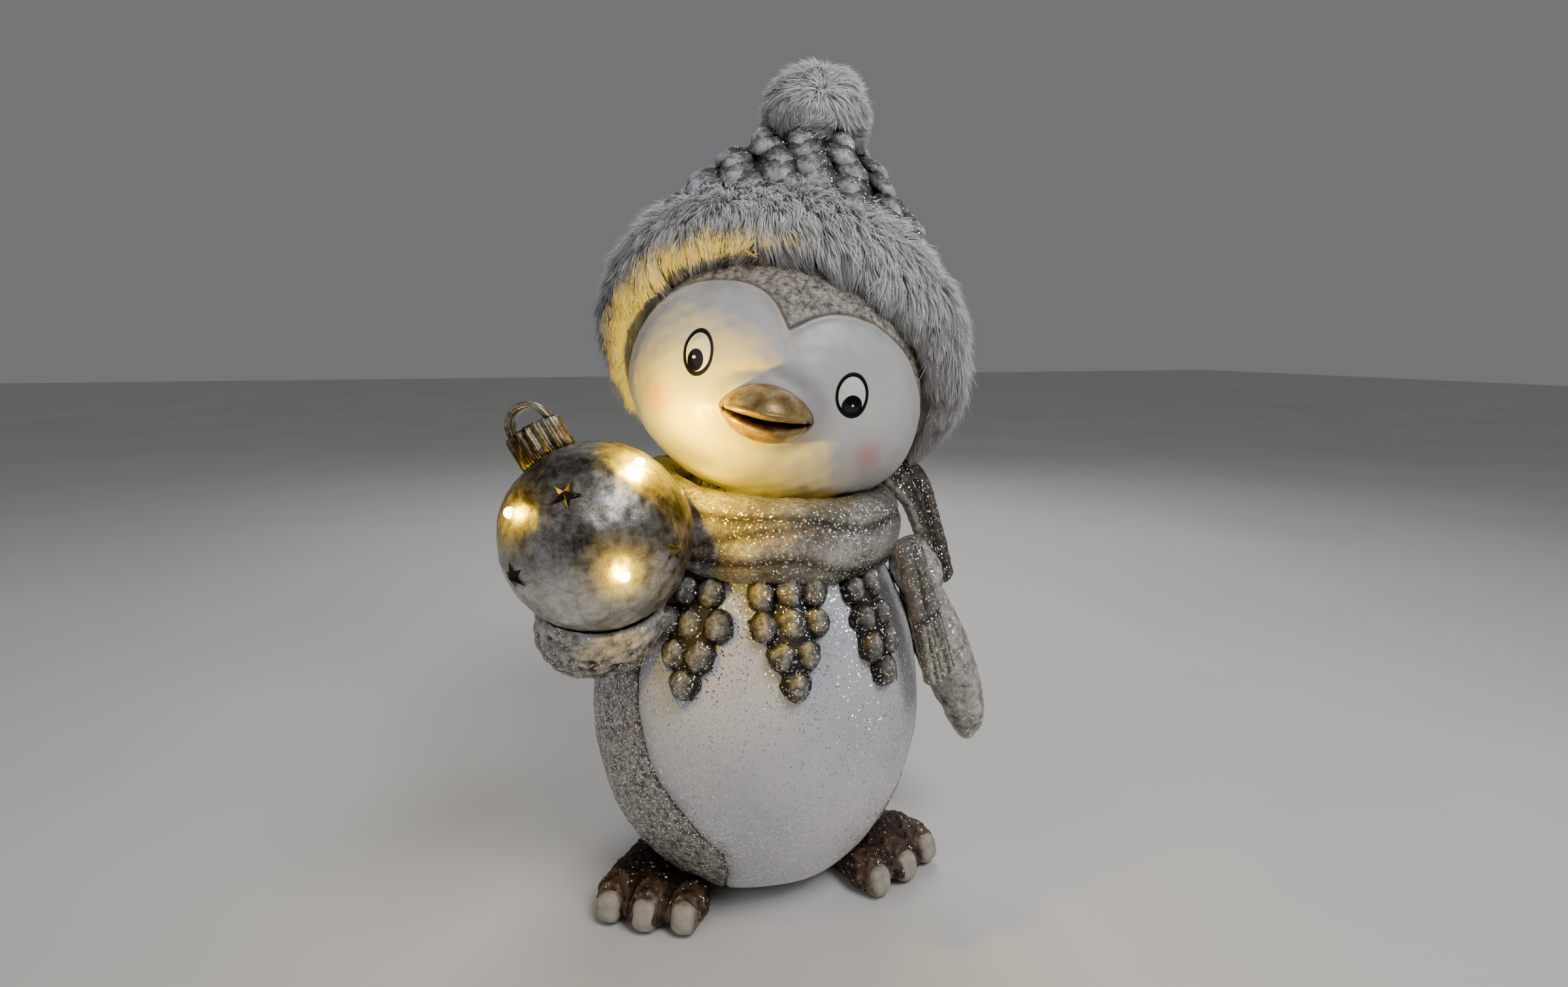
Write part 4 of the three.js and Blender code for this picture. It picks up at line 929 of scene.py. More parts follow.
def hat_point(turn, run, inset=0.0):
    """The hat's outer face: turn goes round, run goes from the edge under the brim to the top."""
    turn, run = np.broadcast_arrays(np.asarray(turn, float), np.asarray(run, float))
    c, s = np.cos(turn)[..., None], np.sin(turn)[..., None]
    local = RING_CENTRE - RING_THROUGH * HAT_EDGE_FORWARD
    local = local + RING_ACROSS * c * (
        RING_WIDE - HAT_EDGE_INSET - inset
    ) + RING_UP * s * (RING_HIGH - HAT_EDGE_INSET - inset)
    edge = head_place(local)
    flat = np.concatenate([c, -s, 0 * c], axis=-1)
    top = HAT_TOP + flat * (HAT_TOP_RADIUS - inset)
    bulge = HAT_BULGE * (1 - s) / 2
    control = (edge + top) / 2 + 2 * flat * (bulge - inset)
    r = run[..., None]
    return (1 - r) ** 2 * edge + 2 * r * (1 - r) * control + r ** 2 * top


HAT_COLUMNS, HAT_ROWS = 120, 46
runs = np.linspace(1, 0, HAT_ROWS)
turns = np.linspace(0, 2 * math.pi, HAT_COLUMNS, endpoint=False)
t, r = np.meshgrid(turns, runs)
wall = hat_point(t, r, 1.5)
wall = wall + 0.5 * Ripples(9, 41)(wall)[..., None]
edge_middle = wall[-1].mean(axis=0)
skin = np.concatenate([[HAT_TOP + [0, 0, -1]], wall.reshape(-1, 3), [edge_middle]])
hat_wall = make_piece(
    "hat_wall", skin, wrapped_faces(HAT_ROWS, HAT_COLUMNS), cone_paint, {"tip": np.full(len(skin), 0.1)},
)

SCALE_PITCH, ROW_PITCH = 17.0, 12.0


def hat_plan():
    """Rows of scales from the brim up. Each row is half a pitch round from the one below."""
    rng = np.random.default_rng(42)
    points, turns_out, sizes = [], [], []
    ring = np.linspace(0, 2 * math.pi, 721)
    mean_line = np.stack([hat_point(ring[:-1:40], r).mean(axis=0) for r in np.linspace(0, 1, 101)])
    height = np.mean(
        [
            np.linalg.norm(np.diff(hat_point(a, np.linspace(0, 1, 101)), axis=0), axis=1).sum()
            for a in ring[:-1:60]
        ]
    )
    rows = int(height / ROW_PITCH)
    for row in range(rows):
        run = 0.12 + 0.86 * row / (rows - 1)
        loop = hat_point(ring, run)
        along = np.concatenate([[0], np.cumsum(np.linalg.norm(np.diff(loop, axis=0), axis=1))])
        count = max(7, round(along[-1] / SCALE_PITCH))
        for i in range(count):
            at = (i + 0.5 * (row % 2) + rng.uniform(-0.1, 0.1)) / count % 1.0
            a = np.interp(at * along[-1], along, ring)
            here = hat_point(a, run)
            down = hat_point(a, run - 0.03) - here
            down /= np.linalg.norm(down)
            side = hat_point(a + 0.02, run) - hat_point(a - 0.02, run)
            side /= np.linalg.norm(side)
            out = np.cross(side, down)
            if out @ (here - mean_line[int(run * 100)]) < 0:
                side, out = -side, -out
            wide = along[-1] / count
            grow = rng.uniform(0.94, 1.1)
            points.append(here + out * 1.2)
            turns_out.append(euler_of(side, down, out))
            sizes.append((wide * 1.14 * grow, 16.5 * grow * (0.7 + 0.3 * wide / SCALE_PITCH), 18.0 * grow))
    return points, turns_out, sizes


points, turns_out, sizes = hat_plan()
hat_scales = copy_shape("hat_scales", cone_scale, points, turns_out, sizes, cone_paint)
at = read_points(hat_scales.data)
write_points(hat_scales.data, at + 0.45 * np.stack([Ripples(8, 43 + k)(at) for k in range(3)], axis=-1))
hat = joined_piece("hat_casting", [hat_wall, hat_scales])
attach(hat, "figurine")
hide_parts("hat_shell")
print("hat:", len(points), "scales,", len(hat.data.polygons), "faces")

# %% [markdown]
# ## Faux fur on the brim and the pompom
# The brim is a stuffed roll of white acrylic plush with a pile of 10 to 15 mm, longer over the forehead.
# The pompom is the same plush. Light passes through the strands as well as off them, so the pile stays
# bright. A padded core gives the roll its lumps, and the pile is real strands: thin tapered ribbons, copied
# by the same node tree onto the core. Fur reads as fur because neighbouring hairs lean together, so each
# strand bends towards the middle of its lock, and the locks follow a slowly changing lay.

# %% Material: acrylic plush pile
fur_pile, tree = new_material("white_acrylic_plush_pile")
place = add(tree, "ShaderNodeTexCoord").outputs["Object"]
along = add(tree, "ShaderNodeAttribute", attribute_name="along").outputs["Fac"]
lot = add(tree, "ShaderNodeAttribute", attribute_name="lot").outputs["Fac"]
shade = stops(
    add(tree, "ShaderNodeValToRGB", {0: along}), (0.0, "#F0EFEE"), (0.35, "#F8F7F6"), (0.8, "#FEFDFC"),
)
tints = stops(add(tree, "ShaderNodeValToRGB", {0: lot}), (0.15, "#EAEAEA"), (0.7, "#FFFFFF"))
toned = add(tree, "ShaderNodeMix", {0: 1.0, 6: shade, 7: tints}, data_type="RGBA", blend_type="MULTIPLY")
lay = add(tree, "ShaderNodeAttribute", attribute_name="lay").outputs["Vector"]
facet = add(tree, "ShaderNodeNewGeometry").outputs["Normal"]
gentle = add(tree, "ShaderNodeMix", {0: 0.93, 4: facet, 5: lay}, data_type="VECTOR")
unit = add(tree, "ShaderNodeVectorMath", {0: gentle.outputs[1]}, operation="NORMALIZE")
shader = add(tree, "ShaderNodeBsdfPrincipled", {
    "Base Color": toned.outputs[2], "Roughness": 0.8, "Normal": unit.outputs[0],
    "Sheen Weight": 1.0, "Sheen Roughness": 0.6, "Specular IOR Level": 0.3,
})
behind = add(tree, "ShaderNodeVectorMath", {0: unit.outputs[0], 1: (-1.0,) * 3}, operation="MULTIPLY")
through = add(tree, "ShaderNodeBsdfTranslucent", {"Color": toned.outputs[2], "Normal": behind.outputs[0]})
lit = add(tree, "ShaderNodeMixShader", {0: 0.5, 1: shader.outputs[0], 2: through.outputs[0]})
add(tree, "ShaderNodeOutputMaterial", {0: lit.outputs[0]})
fur_pile.cycles.use_bump_map_correction = False

# %% One hair and the combing
HAIR_STEPS = 3
HAIR_WIDTH = 0.62


def hair_template():
    """A flat tapered ribbon up Z with one point at the tip. side tells left from right."""
    points, along, side = [], [], []
    for i in range(HAIR_STEPS):
        for s in (-1, 1):
            points.append((s * 0.5, 0, i / HAIR_STEPS))
            along.append(i / HAIR_STEPS)
            side.append(s * (1 - 0.55 * i / HAIR_STEPS))
    points.append((0, 0, 1))
    along.append(1)
    side.append(0)
    faces = [(2 * i, 2 * i + 1, 2 * i + 3, 2 * i + 2) for i in range(HAIR_STEPS - 1)]
    faces.append((2 * HAIR_STEPS - 2, 2 * HAIR_STEPS - 1, 2 * HAIR_STEPS))
    return np.array(points) * MM, faces, along, side


points, faces, along, side = hair_template()
hair_mesh = bpy.data.meshes.new("hair")
hair_mesh.from_pydata(points.tolist(), [], faces)
for key, numbers in (("along", along), ("side", side)):
    hair_mesh.attributes.new(key, "FLOAT", "POINT").data.foreach_set("value", numbers)
hair = bpy.data.objects.new("hair", hair_mesh)
bpy.context.scene.collection.objects.link(hair)


def combed(name, roots, outs, lays, lengths, lock_mm, seed):
    """Strands on roots: they leave along outs, bend over along lays, and lean together in locks."""
    rng = np.random.default_rng(seed)
    count = len(roots)
    piece = copy_shape(name, hair, roots, np.zeros((count, 3)), np.ones((count, 3)), fur_pile)
    mesh = piece.data
    per = len(hair_mesh.vertices)
    t = np.tile(np.array(along), count)
    s = np.tile(np.array(side), count)
    strand = np.repeat(np.arange(count), per)
    cell = np.floor(
        roots / lock_mm + 0.7 * np.stack([Ripples(lock_mm * 2.5, seed + k)(roots) for k in range(3)], axis=1)
    )
    _, lock = np.unique(cell, axis=0, return_inverse=True)
    lock = lock.ravel()
    amount = np.bincount(lock)[:, None]
    tips = roots + (outs * 0.5 + lays * 0.86) * lengths[:, None]
    middle = np.stack([np.bincount(lock, tips[:, k]) for k in range(3)], axis=1) / amount
    nudge = rng.normal(0, lock_mm * 0.16, middle.shape)
    pull = (middle + nudge)[lock] - tips
    pull *= rng.uniform(0.2, 0.5, (count, 1))
    curl = rng.normal(0, 0.09, (count, 3)) * lengths[:, None]
    base, over = outs[strand], lays[strand]
    length = lengths[strand][:, None]
    tt = t[:, None]
    path = roots[strand] + length * (
        base * (0.92 * tt - 0.42 * tt ** 2) + over * (0.26 * tt + 0.60 * tt ** 2)
    )
    path = path + pull[strand] * tt ** 1.6 + curl[strand] * tt ** 2
    across = np.cross(lays, outs) + rng.normal(0, 0.25, (count, 3))
    across /= np.linalg.norm(across, axis=1, keepdims=True) + 1e-9
    path = path + across[strand] * (s * HAIR_WIDTH / 2)[:, None]
    write_points(mesh, path)
    layer = mesh.attributes.new("lot", "FLOAT", "POINT")
    lock_lot = rng.uniform(0, 1, len(amount))
    layer.data.foreach_set(
        "value", (0.6 * lock_lot[lock] + 0.4 * rng.uniform(0, 1, count))[strand].astype(np.float32),
    )
    layer = mesh.attributes.new("lay", "FLOAT_VECTOR", "POINT")
    face = base * (1 - 0.25 * tt) + 0.9 * pull[strand] / lock_mm * tt + rng.normal(0, 0.22, (count, 3))[strand]
    face /= np.linalg.norm(face, axis=1, keepdims=True)
    layer.data.foreach_set("vector", face.astype(np.float32).ravel())
    return piece


print("one hair:", len(hair_mesh.polygons), "faces,", len(hair_mesh.vertices), "points")

# %% The brim's core and pile
CORE_SHARE = 0.84
HEAD_SKIN = 1.0


def brim_surface(alpha, beta, share):
    """alpha goes round the face, beta round the roll: 0 faces outward, a quarter turn faces front."""
    radial = np.cos(beta) * PILE_HALF * share
    local = RING_CENTRE + RING_ACROSS * (np.cos(alpha) * (RING_WIDE + radial))[..., None]
    local = local + RING_UP * (np.sin(alpha) * (RING_HIGH + radial))[..., None]
    return head_place(local - RING_THROUGH * (np.sin(beta) * BAND_HALF * share)[..., None])


def brim_frame(alpha, beta, share=1.0):
    step = 1e-3
    point = brim_surface(alpha, beta, share)
    round_face = brim_surface(alpha + step, beta, share) - point
    round_roll = brim_surface(alpha, beta + step, share) - point
    out = np.cross(round_face, round_roll)
    out /= np.linalg.norm(out, axis=-1, keepdims=True)
    middle = brim_surface(alpha, beta, 0.0)
    flip = np.sign(np.sum(out * (point - middle), axis=-1, keepdims=True))
    round_roll /= np.linalg.norm(round_roll, axis=-1, keepdims=True)
    round_face /= np.linalg.norm(round_face, axis=-1, keepdims=True)
    return point, out * flip, round_roll, round_face


CORE_ROWS, CORE_COLUMNS = 160, 40
a, b = np.meshgrid(
    np.linspace(0, 2 * math.pi, CORE_ROWS, endpoint=False),
    np.linspace(0, 2 * math.pi, CORE_COLUMNS, endpoint=False), indexing="ij",
)
core, core_out, _, _ = brim_frame(a, b, CORE_SHARE)
core = core + core_out * (1.4 * Ripples(26, 51)(core))[..., None]
core_flat = core.reshape(-1, 3)
brim_core = make_piece(
    "brim_core", core_flat, ring_faces(CORE_ROWS, CORE_COLUMNS), fur_pile,
    {"along": np.full(len(core_flat), 0.2), "lot": np.full(len(core_flat), 0.4)},
)
layer = brim_core.data.attributes.new("lay", "FLOAT_VECTOR", "POINT")
layer.data.foreach_set("vector", core_out.reshape(-1, 3).astype(np.float32).ravel())

BRIM_HAIRS = 98000


def brim_pile():
    rng = np.random.default_rng(52)
    alpha = rng.uniform(0, 2 * math.pi, BRIM_HAIRS)
    beta = rng.uniform(0, 2 * math.pi, BRIM_HAIRS)
    root, out, roll, face = brim_frame(alpha, beta, CORE_SHARE)
    hat_side = np.cos(beta) < -0.55
    keep = ~inside_head(root, HEAD_SKIN + 1.5) & ~(hat_side & (np.sin(beta) < 0.2) & (np.sin(alpha) > -0.5))
    root, out, roll, face, alpha, beta = [v[keep] for v in (root, out, roll, face, alpha, beta)]
    swirl = 0.35 * Ripples(34, 53)(root)[:, None]
    back = smooth_step(0.1, -0.6, np.sin(beta))[:, None]
    lay = roll * -0.9 * back + face * swirl + np.array([0, -0.4, -1.5]) * (1 - 0.5 * back)
    lay += 0.3 * np.stack([Ripples(16, 54 + k)(root) for k in range(3)], axis=1)
    lay += 0.4 * np.stack([Ripples(8, 154 + k)(root) for k in range(3)], axis=1)
    lay -= out * np.sum(lay * out, axis=1, keepdims=True)
    lay /= np.linalg.norm(lay, axis=1, keepdims=True) + 1e-9
    length = rng.uniform(9.5, 15.0, len(root)) * (1 + 0.16 * Ripples(22, 57)(root))
    fringe = smooth_step(0.3, -0.5, np.cos(beta)) * smooth_step(0, 0.6, np.sin(beta))
    length *= 1 + (0.25 + 0.3 * smooth_step(0.0, 0.7, np.sin(alpha))) * fringe
    return root - out * 0.8, out, lay, length


roots, outs, lays, lengths = brim_pile()
brim_hair = combed("brim_hair", roots, outs, lays, lengths, 6.0, 58)
brim = joined_piece("fur_brim_plush", [brim_core, brim_hair])
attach(brim, "figurine")
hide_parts("fur_brim")
print("brim:", len(roots), "hairs,", sum(len(p.vertices) - 2 for p in brim.data.polygons), "triangles")

# %% The pompom
POMPOM_HAIRS = 30000
POMPOM_SHARE = 0.8
rows, columns = 24, 40
ball = ball_points(rows, columns)
half = np.array([POMPOM_RADIUS, POMPOM_RADIUS, POMPOM_HIGH]) * POMPOM_SHARE
core = POMPOM_CENTRE + ball * half * (1 + 0.04 * Ripples(20, 61)(ball * 25))[:, None]
pompom_core = make_piece(
    "pompom_core", core, wrapped_faces(rows, columns), fur_pile,
    {"along": np.full(len(core), 0.25), "lot": np.full(len(core), 0.4)},
)
layer = pompom_core.data.attributes.new("lay", "FLOAT_VECTOR", "POINT")
layer.data.foreach_set("vector", ball.astype(np.float32).ravel())
rng = np.random.default_rng(62)
outs = rng.normal(size=(POMPOM_HAIRS, 3))
outs /= np.linalg.norm(outs, axis=1, keepdims=True)
roots = POMPOM_CENTRE + outs * half * 0.97
lays = np.stack([Ripples(18, 63 + k)(roots) for k in range(3)], axis=1) + np.array([0, 0, -0.35])
lays -= outs * np.sum(lays * outs, axis=1, keepdims=True)
lays /= np.linalg.norm(lays, axis=1, keepdims=True)
lengths = rng.uniform(9.5, 12.5, POMPOM_HAIRS)
pompom_hair = combed("pompom_hair", roots, outs, lays, lengths, 4.0, 66)
pompom = joined_piece("pompom_plush", [pompom_core, pompom_hair])
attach(pompom, "figurine")
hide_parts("pompom")
print("pompom:", POMPOM_HAIRS, "hairs")

# %% [markdown]
# ## The scarf: dry-brushed taupe cast stone
# The scarf is cast with the body and painted taupe, spattered with dark specks, dry-brushed with white
# along the folds and dusted with glitter. The collar is one swept ring whose section has two soft folds.
# The tail and the flap are swept slabs. Each carries a tip attribute that is high where a dry brush would
# touch.

# %% Material: dry-brushed scarf paint
scarf_paint = dry_brushed("dry_brushed_scarf_paint", "#38322C", "#716A62", "#C4C0B8", -0.05, 1.15, 0.09, 2.2)
flap_paint = dry_brushed("dry_brushed_dark_scarf_paint", "#2B231D", "#5E544A", "#C2BDB3", 0.1, 1.2, 0.06)

# %% The collar
COLLAR_AT, COLLAR_TURN = np.array([4.0, -3.0, 191.0]), turned(4, 5, 0)
COLLAR_WIDE, COLLAR_DEEP, COLLAR_THICK, COLLAR_HIGH = 54.0, 52.0, 16.0, 20.0
COLLAR_ROWS, COLLAR_COLUMNS = 420, 72


def collar_skin():
    a, g = np.meshgrid(
        np.linspace(0, 2 * math.pi, COLLAR_ROWS, endpoint=False),
        np.linspace(0, 2 * math.pi, COLLAR_COLUMNS, endpoint=False), indexing="ij",
    )
    level = np.sin(g)
    wave = 0.10 * np.sin(3 * a + 0.6) + 0.06 * np.sin(7 * a)
    upper = np.exp(-((level - 0.52 - wave) / 0.09) ** 2)
    lower = np.exp(-((level + 0.42 - 1.6 * wave) / 0.10) ** 2)
    cross = np.exp(
        -((level - 0.05 + 0.5 * np.sin(2 * a + 1.1)) / 0.07) ** 2
    ) * smooth_step(0.1, 0.7, np.sin(2 * a - 0.5))
    outer = smooth_step(-0.2, 0.4, np.cos(g))
    dent = (1.5 * upper + 1.3 * lower + 1.0 * cross) * outer
    radial = np.sign(np.cos(g)) * np.abs(np.cos(g)) ** 0.8 * COLLAR_THICK - dent
    points = np.stack([
        np.cos(a) * (COLLAR_WIDE + radial), np.sin(a) * (COLLAR_DEEP + radial),
        np.sign(level) * np.abs(level) ** 0.9 * COLLAR_HIGH,
    ], axis=-1).reshape(-1, 3)
    lumps = 0.5 * Ripples(24, 71)(points) + 0.22 * Ripples(6, 72)(points) + 0.12 * Ripples(2.6, 73)(points)
    away = np.stack([np.cos(a) * np.cos(g), np.sin(a) * np.cos(g), np.sin(g)], axis=-1).reshape(-1, 3)
    points = points + away * (lumps - 0.4)[:, None]
    tip = 0.62 - 0.55 * (upper + lower + cross) + 0.22 * np.exp(-((level + 0.05) / 0.3) ** 2)
    tip = tip.ravel() + 0.25 * lumps + 0.12 * Ripples(30, 74)(points)
    return points @ COLLAR_TURN.T + COLLAR_AT, tip - 0.12


skin, tip = collar_skin()
scarf = make_piece(
    "scarf_collar_casting", skin, ring_faces(COLLAR_ROWS, COLLAR_COLUMNS), scarf_paint, {"tip": tip},
)
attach(scarf, "figurine")
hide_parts("scarf_collar")
print("collar:", len(scarf.data.polygons), "faces")

# %% The hanging tail and the back flap, as swept slabs
SLAB_COLUMNS, SLAB_ROWS = 96, 110


def slab(path, outwards, half_wide, half_thick, relief):
    """A thick strip along a path. Widths and thicknesses run from 0 to 1, relief gives a height and a brush share."""
    s = np.linspace(0, 1, SLAB_ROWS)
    knots = np.linspace(0, 1, len(path))
    centre = np.stack([np.interp(s, knots, np.array(path, float)[:, k]) for k in range(3)], axis=1)
    kernel = np.hanning(31) / np.hanning(31).sum()
    padded = np.pad(centre, ((15, 15), (0, 0)), mode="reflect", reflect_type="odd")
    centre = np.stack([np.convolve(padded[:, k], kernel, mode="valid") for k in range(3)], axis=1)
    ahead = np.gradient(centre, axis=0)
    ahead /= np.linalg.norm(ahead, axis=1, keepdims=True)
    face = np.array(outwards, float) - ahead * (ahead @ np.array(outwards, float))[:, None]
    face /= np.linalg.norm(face, axis=1, keepdims=True)
    across = np.cross(ahead, face)
    a = np.linspace(0, 2 * math.pi, SLAB_COLUMNS, endpoint=False)
    u = np.sign(np.cos(a)) * np.abs(np.cos(a)) ** 0.55
    v = np.sign(np.sin(a)) * np.abs(np.sin(a)) ** 0.75
    wide = np.interp(s, *zip(*half_wide))[:, None]
    thick = np.interp(s, *zip(*half_thick))[:, None]
    end = np.minimum(
        1, np.sqrt(np.clip(1 - ((np.abs(s - 0.5) - 0.46) / 0.04).clip(0, 1) ** 2, 0.02, 1)),
    )[:, None]
    height, brush = relief(s[:, None], u[None, :], v[None, :])
    points = centre[:, None] + across[:, None] * (u * wide * end)[..., None]
    points = points + face[:, None] * (v * (thick + height * np.abs(v) ** 0.5) * end)[..., None]
    flat = points.reshape(-1, 3)
    lumps = 0.2 * Ripples(6, 75)(flat) + 0.13 * Ripples(2.8, 76)(flat)
    flat = flat + (face[:, None] * np.sign(v)[None, :, None]).reshape(-1, 3) * lumps[:, None]
    skin = np.concatenate([[centre[0]], flat, [centre[-1]]])
    return skin, np.concatenate([[0], (brush + 0 * u).ravel() + 0.4 * lumps, [0]])


def tail_relief(s, u, v):
    fringe = smooth_step(0.58, 0.62, s)
    threads = np.abs(np.sin(u * 3.1 * math.pi + 0.9 * np.sin(5 * s)))
    hem = np.exp(-((s - 0.585) / 0.016) ** 2)
    rolled = 1.2 * np.exp(-((u - 0.2 - 0.5 * (s - 0.3)) / 0.16) ** 2) * (1 - fringe)
    height = fringe * (1.7 * threads - 1.0) - 0.9 * hem - rolled
    return height, 0.45 + fringe * (0.75 * threads - 0.35) - 0.6 * hem - 0.4 * rolled + 0 * v


def flap_relief(s, u, v):
    fold = np.exp(-((u + 0.25 - 0.4 * s) / 0.14) ** 2) + 0.7 * np.exp(-((u - 0.5 + 0.2 * s) / 0.12) ** 2)
    return -1.3 * fold + 0 * s, 0.42 + 0.5 * smooth_step(0.72, 1.0, np.abs(u)) - 0.5 * fold + 0 * v


TAIL_PATH = [(59, -54, 186), (64, -58, 166), (70, -61, 142), (77, -62, 117)]
skin, tip = slab(
    TAIL_PATH, (0.55, -0.83, 0.1),
    [(0, 9.5), (0.35, 8.5), (0.58, 9.6), (1, 11.4)], [(0, 4.4), (0.5, 4.0), (1, 4.0)], tail_relief,
)
tail = make_piece(
    "scarf_tail_casting", skin, wrapped_faces(SLAB_ROWS, SLAB_COLUMNS), scarf_paint, {"tip": tip},
)
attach(tail, "figurine")
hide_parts("scarf_front_tail")

FLAP_PATH = [(69, -10, 213), (83, -12, 200), (92, -12, 176), (101, -17, 149)]
skin, tip = slab(
    FLAP_PATH, (0.5, -0.8, 0.3),
    [(0, 12.5), (0.3, 13.5), (0.75, 10.5), (1, 6.0)], [(0, 4.4), (0.6, 3.8), (1, 2.8)], flap_relief,
)
flap = make_piece(
    "scarf_flap_casting", skin, wrapped_faces(SLAB_ROWS, SLAB_COLUMNS), flap_paint, {"tip": tip},
)
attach(flap, "figurine")
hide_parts("scarf_back_flap")
print("tail and flap:", len(tail.data.polygons) + len(flap.data.polygons), "faces")

# %% [markdown]
# ## The three cone pendants
# Each pendant is a small hanging cone: four rows of round scales over a core that keeps them in one
# casting. The same node tree copies a rounder scale onto the belly, and the core behind is a flattened,
# roughened egg.

# %% Pendant scales
BEAD_RADIUS, BEAD_PITCH, BEAD_ROW, BEAD_STAND = 6.9, 11.6, 12.2, 2.2
PENDANTS = {
    "right": (-34, 167, (2, 3, 2, 1)), "middle": (0, 167, (3, 3, 2, 1)), "left": (33, 164, (2, 2, 2, 1)),
}


def bead_template():
    rows, columns = 11, 18
    ball = ball_points(rows, columns)
    ridge = np.exp(-(ball[:, 0] / 0.22) ** 2) * smooth_step(0.1, 0.9, ball[:, 2])
    point = smooth_step(0.2, 1.0, ball[:, 1])
    swell = 1 + 0.10 * ridge + 0.12 * point - 0.10 * smooth_step(0.3, 1.0, -ball[:, 1])
    shape = ball * swell[:, None] * [0.98, 1.04, 0.9]
    tip = -0.1 + 0.65 * smooth_step(0.2, 1.0, ball[:, 2]) + 0.25 * point + 0.12 * ridge
    return shape * MM, wrapped_faces(rows, columns), tip


points, faces, tip = bead_template()
bead = template("pendant_bead", points, faces, {"tip": tip})

for side, (angle, top, rows) in PENDANTS.items():
    length = (len(rows) - 1) * BEAD_ROW
    rng = np.random.default_rng(80 + angle % 7)
    points, turns_out, sizes = [], [], []
    for row, count in enumerate(rows):
        height = top - row * BEAD_ROW
        radius = float(body_radius(height)) + BEAD_STAND
        for i in range(count):
            turn = math.radians(angle) + (i - (count - 1) / 2) * BEAD_PITCH / radius
            at = np.array([radius * math.sin(turn), -radius * DEPTH_RATIO * math.cos(turn), height])
            out = np.array(
                [
                    at[0] / BELLY_RADIUS ** 2, at[1] / (BELLY_RADIUS * DEPTH_RATIO) ** 2,
                    (height - BELLY_HEIGHT) / UPPER_HALF ** 2,
                ]
            )
            out /= np.linalg.norm(out)
            across = np.cross([0, 0, 1.0], out)
            across /= np.linalg.norm(across)
            grow = rng.uniform(0.94, 1.04)
            points.append(at - out * 0.4 + rng.normal(0, 0.25, 3))
            turns_out.append(euler_of(-across, -np.cross(out, across), out))
            sizes.append((BEAD_RADIUS * grow, BEAD_RADIUS * grow, BEAD_RADIUS * 1.02))
    beads = copy_shape(f"pendant_{side}_beads", bead, points, turns_out, sizes, pendant_paint)
    at = read_points(beads.data)
    write_points(
        beads.data,
        at + np.stack(
            [0.6 * Ripples(7, 81 + k)(at) + 0.35 * Ripples(3, 84 + k)(at) for k in range(3)], axis=-1,
        ),
    )
    core_height = top - length / 2
    core_radius = float(body_radius(core_height))
    slope = math.degrees(math.atan2(float(body_radius(top - length) - body_radius(top)), length))
    rows_c, columns_c = 26, 30
    egg = ball_points(rows_c, columns_c) * [BEAD_PITCH * 0.95, 5.6, length * 0.55]
    turn = math.radians(angle)
    place_at = np.array(
        [core_radius * math.sin(turn), -core_radius * DEPTH_RATIO * math.cos(turn), core_height]
    )
    egg = egg @ turned(-slope, 0, angle).T + place_at
    egg = egg + np.stack([0.35 * Ripples(5, 87 + k)(egg) for k in range(3)], axis=-1)
    core = make_piece(
        f"pendant_{side}_core", egg, wrapped_faces(rows_c, columns_c), pendant_paint,
        {"tip": np.full(len(egg), -0.15)},
    )
    pendant = joined_piece(f"pendant_{side}_casting", [core, beads])
    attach(pendant, "figurine")
    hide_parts(f"pendant_{side}")
    print("pendant", side, len(points), "scales")

# %% [markdown]
# ## Wings and feet, modelled from lumps
# A sculptor builds a wing or a foot by pressing lumps of clay together. The same can be done here: closed
# eggs are joined, a voxel remesh melts them into one skin, and a few rounds of smoothing rub the joints
# out. Then each point moves a little along its normal for the sponge-rough surface.

# %% Pressing lumps together
def lumps_mesh(name, lumps, voxel_mm, rounds):
    """One skin from (centre, half sizes, turns) lumps, as an object whose points are read back in millimetres."""
    mesh = bpy.data.meshes.new(name)
    rows, columns = 22, 36
    ball = ball_points(rows, columns)
    points, faces = [], []
    for centre, half, turns_in in lumps:
        start = sum(len(p) for p in points)
        placed = (ball * half) @ turned(*turns_in).T + centre
        points.append(placed)
        faces += [
            tuple(start + i for i in face)
            for face in outward(placed - centre, wrapped_faces(rows, columns))
        ]
    mesh.from_pydata(metres(np.concatenate(points)).tolist(), [], faces)
    piece = bpy.data.objects.new(name, mesh)
    bpy.context.scene.collection.objects.link(piece)
    melt = piece.modifiers.new("melt", "REMESH")
    melt.mode = "VOXEL"
    melt.voxel_size = voxel_mm * MM
    rub = piece.modifiers.new("rub", "SMOOTH")
    rub.factor = 0.5
    rub.iterations = rounds
    graph = bpy.context.evaluated_depsgraph_get()
    melted = bpy.data.meshes.new_from_object(piece.evaluated_get(graph))
    piece.modifiers.clear()
    piece.data = melted
    melted.polygons.foreach_set("use_smooth", [True] * len(melted.polygons))
    return piece


def point_normals(mesh):
    flat = np.empty(len(mesh.vertices) * 3)
    mesh.vertices.foreach_get("normal", flat)
    return flat.reshape(-1, 3)


def give_tip(mesh, values):
    mesh.attributes.new("tip", "FLOAT", "POINT").data.foreach_set("value", np.asarray(values, np.float32))


def finish_casting(piece, node, paint):
    piece.data.materials.clear()
    piece.data.materials.append(paint)
    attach(piece, "figurine")
    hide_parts(node)
    print(piece.name, len(piece.data.polygons), "faces")


wing_paint = dry_brushed("sponged_wing_paint", "#3D3833", "#98928A", "#D3D0CA", -0.2, 0.95, 0.08)
foot_paint = dry_brushed("flocked_umber_paint", "#261A12", "#584333", "#A89A8A", 0.05, 1.5, 0.02)

